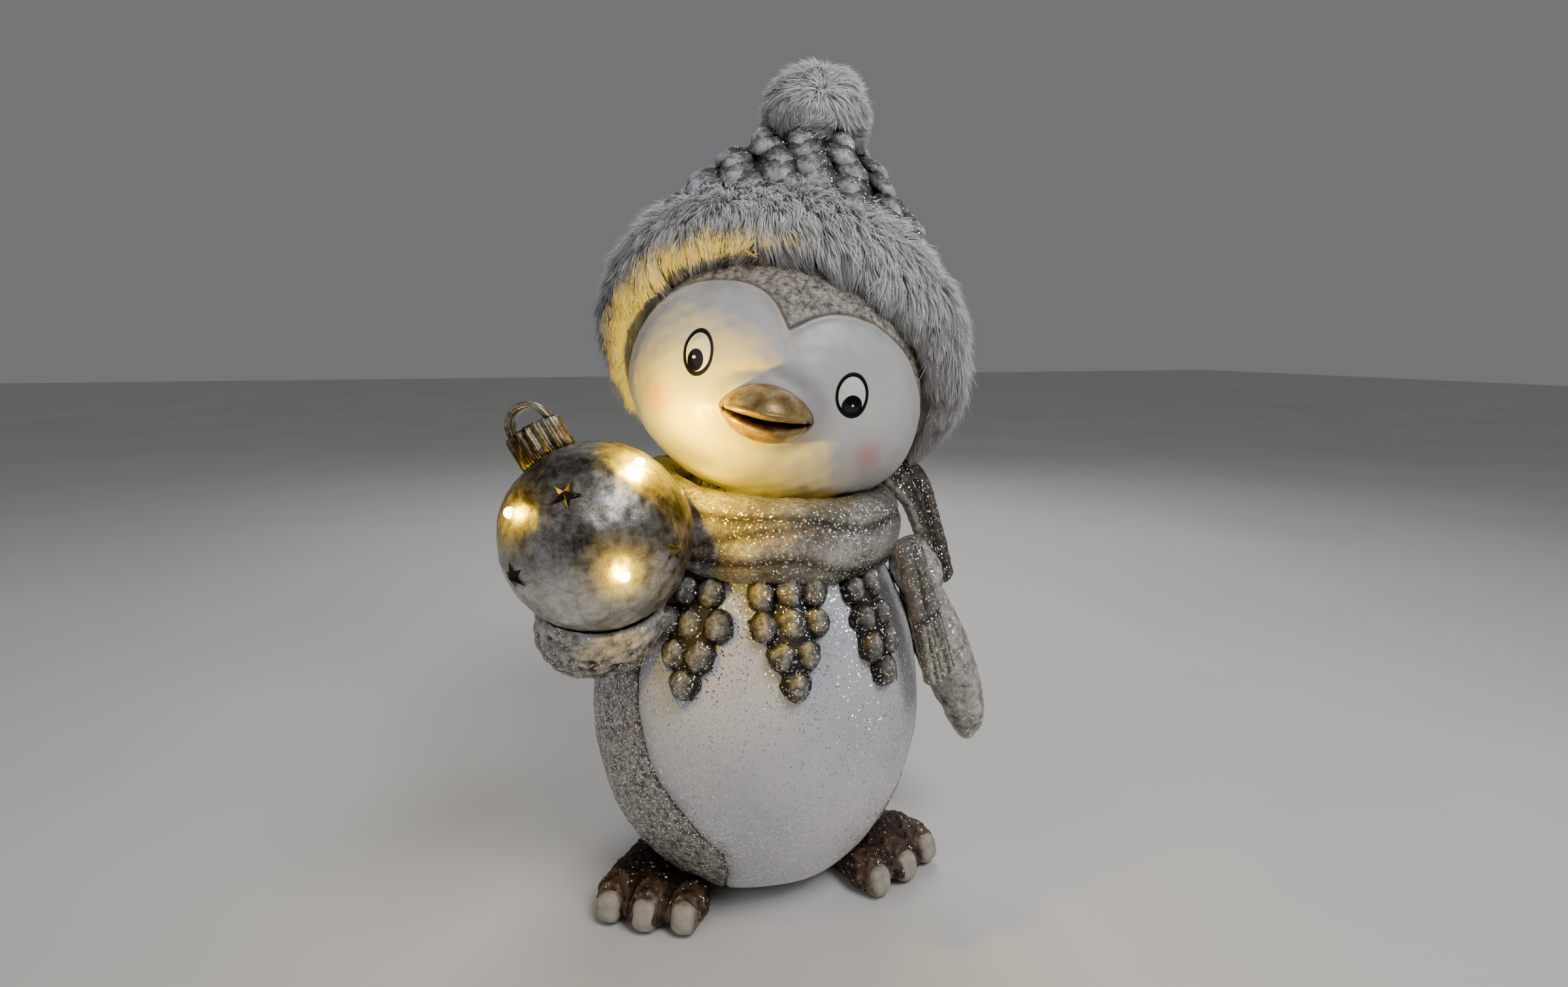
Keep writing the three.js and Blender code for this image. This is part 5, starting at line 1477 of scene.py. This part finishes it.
# %% The raised wing, a palm under the ball
PALM_AT, PALM_HALF, PALM_TURN = np.array([-80.0, -45.0, 155.0]), (28.4, 28.4, 23.4), (0, -12, 0)
raised = lumps_mesh("raised_wing_casting", [
    (PALM_AT, PALM_HALF, PALM_TURN),
    ((-68, -19, 158), (24.4, 22.4, 20.4), (0, -10, 10)),
    ((-84, -60, 166), (17, 12, 9), (10, -12, 20)),
], 1.3, 6)
at = read_points(raised.data)
normal = point_normals(raised.data)
strokes = Ripples(9, 91)(at * [1, 1, 2.2])
grain = 0.22 * Ripples(3.0, 92)(at) + 0.30 * Ripples(6, 93)(at)
lip = np.exp(-((np.linalg.norm(at - BALL_CENTRE, axis=1) - BALL_RADIUS - 2.6) / 2.2) ** 2)
at = at + normal * (grain + 0.35 * strokes + 1.1 * lip)[:, None]
off = at - BALL_CENTRE
reach = np.linalg.norm(off[:, :2], axis=1).clip(0, BALL_RADIUS)
under = BALL_CENTRE[2] - np.sqrt(BALL_RADIUS ** 2 - reach ** 2) - 0.4
held = np.linalg.norm(off, axis=1) < BALL_RADIUS + 0.2
at[held, 2] = np.minimum(at[held, 2], under[held])
write_points(raised.data, at)
# The tip is lowered where the wing faces down: painted shade on its underside.
give_tip(
    raised.data,
    0.45 + 0.8 * grain + 0.15 * strokes - 0.35 * smooth_step(0.1, -0.9, normal[:, 2]) + 0.2 * lip,
)
finish_casting(raised, "raised_wing", wing_paint)

# %% The hanging wing
WING_AT, WING_HALF, WING_TURN = np.array([97.0, -22.0, 114.0]), np.array([14.6, 21.6, 53.4]), (0, -22, -10)
hanging = lumps_mesh("hanging_wing_casting", [
    (WING_AT, WING_HALF, WING_TURN),
    (np.array([106.0, -25.0, 84.0]), (8.5, 13.5, 24), (0, -17, -10)),
    (np.array([79.0, -24.0, 160.0]), (13.0, 19.0, 17.0), (0, -30, -10)),
], 1.3, 8)
at = read_points(hanging.data)
normal = point_normals(hanging.data)
local = (at - WING_AT) @ turned(*WING_TURN)
quills = np.sin(local[:, 1] * 0.62 + 0.8 * np.sin(local[:, 2] * 0.05)) * smooth_step(-8, -44, local[:, 2])
grain = 0.25 * Ripples(3.2, 94)(at) + 0.35 * Ripples(7, 95)(at)
write_points(hanging.data, at + normal * (grain + 0.45 * quills - 0.2)[:, None])
give_tip(hanging.data, 0.5 + 0.7 * grain + 0.25 * quills)
finish_casting(hanging, "hanging_wing", wing_paint)

# %% [markdown]
# ## Feet with painted claws
# The feet are flocked: brown fibres are blown on wet glue, which leaves a felt-like roughness. Three toes
# carry big blunt claws in aged ivory, each with two folds of skin over its root.

# %% Material: aged ivory claws
claw_paint, tree = new_material("aged_ivory_claw_paint")
place = add(tree, "ShaderNodeTexCoord").outputs["Object"]
edge = add(tree, "ShaderNodeAttribute", attribute_name="tip").outputs["Fac"]
mottle = add(
    tree, "ShaderNodeTexNoise", {"Vector": place, "Scale": per_mm(5), "Detail": 5.0, "Roughness": 0.65},
)
rubbed = add(tree, "ShaderNodeMath", {0: mottle.outputs[0], 1: edge}, operation="ADD")
ivory = stops(
    add(tree, "ShaderNodeValToRGB", {0: rubbed.outputs[0]}),
    (0.3, "#3B2C20"), (0.55, "#7A6C5E"), (0.8, "#A3998A"), (1.0, "#B6AFA2"),
)
bump = add(tree, "ShaderNodeBump", {"Height": mottle.outputs[0], "Strength": 0.4, "Distance": 0.4 * MM})
shader = add(
    tree, "ShaderNodeBsdfPrincipled", {"Base Color": ivory, "Roughness": 0.45, "Normal": bump.outputs[0]},
)
add(tree, "ShaderNodeOutputMaterial", {0: shader.outputs[0]})

# %% The feet
FOOT_SIDE, FOOT_FRONT, FOOT_SPLAY, FOOT_HEIGHT = 52.0, -22.0, 27.0, 8.0
TOE_RADIUS, TOE_HALF_LENGTH, TOE_PITCH, TOE_REACH, SOLE_TRIM = 9.6, 13.0, 18.8, 23.0, 0.6


for name, node, side in (("right_foot_casting", "right_foot", -1), ("left_foot_casting", "left_foot", 1)):
    splay = turned(0, 0, side * FOOT_SPLAY)
    base = np.array([side * FOOT_SIDE, FOOT_FRONT, 0.0])
    lumps = [(base + [0, 0, FOOT_HEIGHT], (26.4, 37.4, 11.6), (0, 0, side * FOOT_SPLAY))]
    toes = []
    for toe in (-1, 0, 1):
        middle = np.array([toe * TOE_PITCH, -TOE_REACH + 2 * abs(toe), TOE_RADIUS - SOLE_TRIM])
        toes.append(middle)
        lumps.append(
            (
                base + splay @ middle, (TOE_RADIUS - 0.4, TOE_HALF_LENGTH - 0.6, TOE_RADIUS - 0.3),
                (0, 0, side * FOOT_SPLAY),
            )
        )
        lumps.append(
            (
                base + splay @ (middle + [0, 9, 1.5]), (TOE_RADIUS - 1.6, 12, TOE_RADIUS - 1),
                (0, 0, side * FOOT_SPLAY),
            )
        )
    foot = lumps_mesh(name, lumps, 1.05, 3)
    at = read_points(foot.data)
    normal = point_normals(foot.data)
    local = (at - base) @ splay
    folds = np.zeros(len(at))
    for toe in toes:
        off = local - (toe + [0, -5.2, -1.6])
        ring = np.sqrt((off[:, 0] / 6.3) ** 2 + (off[:, 1] / 12.5) ** 2 + (off[:, 2] / 8.6) ** 2)
        near = smooth_step(11, 8, np.abs(off[:, 0])) * smooth_step(-6, 2, off[:, 2])
        folds = np.maximum(
            folds,
            near * (np.exp(-((ring - 1.14) / 0.075) ** 2) + 0.7 * np.exp(-((ring - 1.42) / 0.08) ** 2)),
        )
    between = np.max(
        [np.exp(-((local[:, 0] - x) / 2.0) ** 2) for x in (-TOE_PITCH / 2, TOE_PITCH / 2)], axis=0,
    )
    between *= smooth_step(0, -16, local[:, 1])
    felt = 0.28 * Ripples(2.6, 96)(at) + 0.30 * Ripples(5.5, 97)(at)
    at = at + normal * (felt + 1.3 * folds - 0.9 * between - 0.25)[:, None]
    at[:, 2] = np.where(at[:, 2] < 0.9, 0.0, at[:, 2])
    write_points(foot.data, at)
    give_tip(
        foot.data, 0.12 + 0.6 * felt + 0.4 * folds - 0.4 * between + 0.25 * smooth_step(14, 24, -local[:, 1]),
    )
    finish_casting(foot, node, foot_paint)
    rows, columns = 18, 28
    claws = []
    for i, toe in enumerate(toes):
        ball = ball_points(rows, columns)
        blunt = np.sign(ball) * np.abs(ball) ** np.array([0.75, 0.85, 0.75])
        shape = blunt * [6.8, 6.4, 7.6]
        shape = shape @ turned(-16, 0, 0).T + toe + [0, -8.2, -0.9]
        shape[:, 2] = np.maximum(shape[:, 2], 0.7)
        shape = shape + 0.15 * np.stack([Ripples(5, 98 + k)(shape + 7 * i) for k in range(3)], axis=-1)
        tip = 0.1 + 0.32 * smooth_step(-0.2, -0.9, ball[:, 1]) - 0.12 * smooth_step(
            0.5, 0.95, np.abs(ball[:, 0]),
        )
        claws.append(
            make_piece(
                f"{node}_claw_{i + 1}", base + shape @ splay.T, wrapped_faces(rows, columns), claw_paint,
                {"tip": tip},
            )
        )
    claw_set = joined_piece(f"{node}_claws", claws)
    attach(claw_set, "figurine")

# %% [markdown]
# ## The ball: silver leaf on cast stone
# Leaf is laid over the ball in torn squares, rubbed down and toned with brown size, so it is metal with
# dull overlaps, creases and a brown tarnish. The cap is a fluted crown with a bent-band loop, in more worn
# leaf. The stars are faceted castings in duller leaf that keep their modelled shape.

# %% Material: aged silver leaf
def silver_leaf(name, tarnish_low, tarnish_high):
    material, tree = new_material(name)
    place = add(tree, "ShaderNodeTexCoord").outputs["Object"]
    broad = add(
        tree, "ShaderNodeTexNoise",
        {"Vector": place, "Scale": per_mm(48), "Detail": 3.0, "Roughness": 0.5, "Distortion": 0.3},
    )
    fleck = add(
        tree, "ShaderNodeTexNoise", {"Vector": place, "Scale": per_mm(5), "Detail": 5.0, "Roughness": 0.7},
    )
    mixed = add(tree, "ShaderNodeMix", {0: 0.45, 2: broad.outputs[0], 3: fleck.outputs[0]})
    tarnish = add(tree, "ShaderNodeMapRange", {0: mixed.outputs[0], 1: tarnish_low, 2: tarnish_high})
    leaf = stops(
        add(tree, "ShaderNodeValToRGB", {0: tarnish.outputs[0]}),
        (0.0, "#3C372F"), (0.25, "#726E66"), (0.5, "#A3A19C"), (0.85, "#D0CFCC"),
    )
    torn = add(
        tree, "ShaderNodeTexVoronoi", {"Vector": place, "Scale": per_mm(22)}, feature="DISTANCE_TO_EDGE",
    )
    seam = add(tree, "ShaderNodeMapRange", {0: torn.outputs[0], 1: 0.0, 2: 0.035, 3: 0.45, 4: 0.0})
    lapped = add(tree, "ShaderNodeMix", {0: seam.outputs[0], 6: leaf, 7: linear("#8C806B")}, data_type="RGBA")
    gloss = add(tree, "ShaderNodeMapRange", {0: mixed.outputs[0], 1: 0.35, 2: 0.65, 3: 0.44, 4: 0.24})
    crease = add(
        tree, "ShaderNodeTexNoise", {"Vector": place, "Scale": per_mm(2.4), "Detail": 6.0, "Roughness": 0.7},
    )
    bump = add(tree, "ShaderNodeBump", {"Height": crease.outputs[0], "Strength": 0.55, "Distance": 0.35 * MM})
    shader = add(tree, "ShaderNodeBsdfPrincipled", {
        "Base Color": lapped.outputs[2], "Metallic": 0.92, "Roughness": gloss.outputs[0], "Normal": bump.outputs[0],
    })
    add(tree, "ShaderNodeOutputMaterial", {0: shader.outputs[0]})
    return material


leaf = silver_leaf("aged_silver_leaf", 0.33, 0.66)
cap_leaf = silver_leaf("worn_cap_leaf", 0.46, 0.74)
star_leaf = silver_leaf("dull_star_leaf", 0.5, 0.95)

# %% The ball
rows, columns = 130, 220
ball = ball_points(rows, columns)
swell = 0.35 * Ripples(26, 101)(ball * 40) + 0.14 * Ripples(7, 102)(ball * 40)
for turn, rise in LED_WAYS:
    swell -= 0.5 * np.exp(-((1 - ball @ way(turn, rise)) * BALL_RADIUS ** 2 / 22) ** 2)
skin = BALL_CENTRE + ball * (BALL_RADIUS - 0.5 + swell)[:, None]
ball_piece = make_piece("ball_leafed", skin, wrapped_faces(rows, columns), leaf)
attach(ball_piece, "figurine")
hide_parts("bauble_shell")
print("ball:", len(ball_piece.data.polygons), "faces")

# %% Its cap and loop
CAP_RADIUS, CAP_HEIGHT, CAP_WALL, CAP_SEAT, CAP_FLUTES, FLUTE_DEPTH = 12.4, 15.0, 1.6, 36.6, 18, 1.3
LOOP_HALF, LOOP_HEIGHT, LOOP_BAND, LOOP_DEPTH, LOOP_TURN = 9.9, 11.0, 3.2, 8.2, -10
cap_axis = way(*CAP_WAY)
cap_turn = np.array(Vector((0, 0, 1)).rotation_difference(Vector(cap_axis)).to_matrix())


def cap_place(points):
    return np.asarray(points) @ cap_turn.T + BALL_CENTRE


def cap_skin(columns=216):
    t = np.linspace(0, 2 * math.pi, columns, endpoint=False)
    flute = 0.5 + 0.5 * np.cos(CAP_FLUTES * t)
    outer = [
        (0.0, 0.0), (0.35, 0.0), (0.5, 0.5), (2.0, 1.0), (5.0, 1.0), (9.0, 1.0), (12.5, 1.0), (14.2, 0.8),
        (14.9, 0.4),
    ]
    rings = []
    for height, share in outer:
        radius = CAP_RADIUS - 0.25 - FLUTE_DEPTH * (1 - flute) - (1 - share) * 0.9
        rings.append((radius, CAP_SEAT + height))
    rings += [
        (CAP_RADIUS - 3.2 + 0 * t, CAP_SEAT + CAP_HEIGHT),
        (CAP_RADIUS * 0.3 + 0 * t, CAP_SEAT + CAP_HEIGHT + 0.02),
    ]
    low = (CAP_RADIUS - FLUTE_DEPTH - CAP_WALL + 0 * t, CAP_SEAT)
    rings = [low] + rings
    points = np.concatenate([np.stack([r * np.cos(t), r * np.sin(t), z + 0 * t], axis=1) for r, z in rings])
    points = points + 0.12 * np.stack([Ripples(6, 103 + k)(points) for k in range(3)], axis=-1)
    ends = [[0, 0, CAP_SEAT]], [[0, 0, CAP_SEAT + CAP_HEIGHT]]
    return cap_place(np.concatenate([ends[0], points, ends[1]])), len(rings), columns


skin, rows, columns = cap_skin()
cap = make_piece("ball_cap_leafed", skin, wrapped_faces(rows, columns), cap_leaf)
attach(cap, "figurine")
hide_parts("bauble_cap")

rows, columns = 48, 20
a = np.linspace(0, math.pi, rows)
g = np.linspace(0, 2 * math.pi, columns, endpoint=False)
middle = np.stack(
    [(LOOP_HALF - LOOP_BAND / 2) * np.cos(a), 0 * a, (LOOP_HEIGHT - LOOP_BAND / 2) * np.sin(a)], axis=1,
)
out = np.stack([np.cos(a), 0 * a, np.sin(a)], axis=1)
u = np.sign(np.cos(g)) * np.abs(np.cos(g)) ** 0.5 * (LOOP_BAND / 2)
v = np.sign(np.sin(g)) * np.abs(np.sin(g)) ** 0.5 * (LOOP_DEPTH / 2)
band = middle[:, None] + out[:, None] * u[None, :, None] + np.array([0, 1.0, 0]) * v[None, :, None]
band = np.concatenate([[middle[0]], band.reshape(-1, 3), [middle[-1]]])
band = band + 0.1 * np.stack([Ripples(6, 106 + k)(band) for k in range(3)], axis=-1)
band = band @ turned(0, 0, LOOP_TURN).T + [0, 0, CAP_SEAT + CAP_HEIGHT + 0.3]
loop = make_piece("ball_loop_leafed", cap_place(band), wrapped_faces(rows, columns), cap_leaf)
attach(loop, "figurine")
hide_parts("bauble_loop")

nodes = {name: bpy.data.objects[name] for name in frame["nodes"]}
for i in range(6):
    for slot in nodes[f"star_{i + 1}"].material_slots:
        slot.material = star_leaf
print("cap, loop and", 6, "stars")

# %% [markdown]
# ## LEDs
# Each LED is a 4.8 mm dome of clear epoxy over a warm white chip. Lit, the whole dome glows: brightest
# where the lens faces out, deeper yellow at its skirt. A small point light just off each dome throws its
# light on the ball, the face and the fur.

# %% Lit LEDs
led_epoxy, tree = new_material("lit_clear_epoxy")
place = add(tree, "ShaderNodeTexCoord").outputs["Object"]
rim = add(tree, "ShaderNodeLayerWeight", {"Blend": 0.35}).outputs["Facing"]
ripple = add(tree, "ShaderNodeTexNoise", {"Vector": place, "Scale": per_mm(1.5), "Detail": 1.0})
mixed = add(tree, "ShaderNodeMath", {0: rim, 1: ripple.outputs[0]}, operation="MULTIPLY")
glow = stops(add(tree, "ShaderNodeValToRGB", {0: mixed.outputs[0]}), (0.0, "#FFF3D2"), (0.5, "#FFD36E"))
shader = add(tree, "ShaderNodeBsdfPrincipled", {
    "Base Color": linear("#FFE2A0"), "Roughness": 0.12, "Emission Color": glow, "Emission Strength": 14.0,
})
add(tree, "ShaderNodeOutputMaterial", {0: shader.outputs[0]})
LED_DOME, LED_STEM, LED_STEM_LENGTH, LED_SHOWING = 2.4, 1.4, 4.0, 1.4
LED_WATTS = [0.85, 0.14, 0.16, 0.07, 0.3]
for i, (turn, rise) in enumerate(LED_WAYS):
    base = BALL_RADIUS + LED_SHOWING - LED_DOME
    arc = np.linspace(0, math.pi / 2, 9)[:-1]
    profile = [
        (LED_STEM, base - LED_STEM_LENGTH), (LED_STEM, base - 1.1), (LED_DOME + 0.15, base - 1.0),
        (LED_DOME + 0.15, base - 0.4),
    ]
    profile += [(LED_DOME * math.cos(x), base + LED_DOME * math.sin(x)) for x in arc]
    t = np.linspace(0, 2 * math.pi, 24, endpoint=False)
    rings = np.concatenate([np.stack([r * np.cos(t), r * np.sin(t), z + 0 * t], axis=1) for r, z in profile])
    points = np.concatenate([[[0, 0, profile[0][1]]], rings, [[0, 0, base + LED_DOME]]])
    spin = np.array(Vector((0, 0, 1)).rotation_difference(Vector(way(turn, rise))).to_matrix())
    dome = make_piece(
        f"led_dome_{i + 1}", points @ spin.T + BALL_CENTRE, wrapped_faces(len(profile), 24), led_epoxy,
    )
    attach(dome, "figurine")
    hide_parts(f"led_{i + 1}")
    data = bpy.data.lights.new(f"led_light_{i + 1}", "POINT")
    data.energy = LED_WATTS[i]
    data.color = linear("#FFD000")[:3]
    data.shadow_soft_size = 2.5 * MM
    lamp = bpy.data.objects.new(f"led_light_{i + 1}", data)
    lamp.location = metres(BALL_CENTRE + way(turn, rise) * (BALL_RADIUS + 5.5))
    bpy.context.scene.collection.objects.link(lamp)
print(len(LED_WAYS), "LEDs")

# %% [markdown]
# ## What is under the base
# The battery box, its door, the switch, the three cells and their contacts keep their modelled shapes. Each
# gets the finish of the real thing: moulded black ABS with a fine spark texture, nickel-plated spring
# steel, a shrink sleeve on each cell, green solder mask on the board, and soft PVC on the lead.

# %% Materials for the hidden parts
def simple_finish(name, low, high, size_mm, bump_mm, roughness, metallic=0.0, coat=0.0):
    """A moulded or plated finish: two near tones in a fine mottle, which also makes the relief."""
    material, tree = new_material(name)
    place = add(tree, "ShaderNodeTexCoord").outputs["Object"]
    grain = add(tree, "ShaderNodeTexNoise", {"Vector": place, "Scale": per_mm(size_mm), "Detail": 3.0})
    tone = stops(add(tree, "ShaderNodeValToRGB", {0: grain.outputs[0]}), (0.3, low), (0.7, high))
    gloss = add(
        tree, "ShaderNodeMapRange",
        {0: grain.outputs[0], 1: 0.3, 2: 0.7, 3: roughness + 0.08, 4: roughness - 0.06},
    )
    bump = add(
        tree, "ShaderNodeBump", {"Height": grain.outputs[0], "Strength": 0.6, "Distance": bump_mm * MM},
    )
    shader = add(tree, "ShaderNodeBsdfPrincipled", {
        "Base Color": tone, "Roughness": gloss.outputs[0], "Metallic": metallic,
        "Coat Weight": coat, "Normal": bump.outputs[0],
    })
    add(tree, "ShaderNodeOutputMaterial", {0: shader.outputs[0]})
    return material


HIDDEN_FINISHES = {
    (
        "spark_textured_black_abs", "#161617", "#242426", 0.8, 0.12, 0.5,
    ): ("battery_box", "battery_door", "switch_case"),
    ("smooth_black_abs", "#1B1B1D", "#2C2C2F", 2.5, 0.05, 0.3): ("switch_slider",),
    (
        "nickel_plated_spring_steel", "#A9ABAD", "#C6C8CA", 1.5, 0.03, 0.24, 1.0,
    ): ("button_contacts", "spring_contacts"),
    ("shrink_sleeved_cell", "#275C41", "#37785A", 6.0, 0.05, 0.3, 0.0, 0.4): ("cell_1", "cell_2", "cell_3"),
    ("green_solder_mask", "#17492E", "#23623F", 3.0, 0.05, 0.35, 0.0, 0.3): ("driver_board",),
    ("soft_pvc_lead", "#C9C4B6", "#DAD6CA", 2.0, 0.05, 0.45): ("led_lead",),
}
for finish, names in HIDDEN_FINISHES.items():
    material = simple_finish(*finish)
    for name in names:
        for slot in nodes[name].material_slots:
            slot.material = material
print(len(HIDDEN_FINISHES), "finishes under the base")

# %% [markdown]
# ## Tidying
# The shapes that were only copied from are removed.

# %% Finish
for shape in (cone_scale, hair, bead):
    bpy.data.objects.remove(shape)
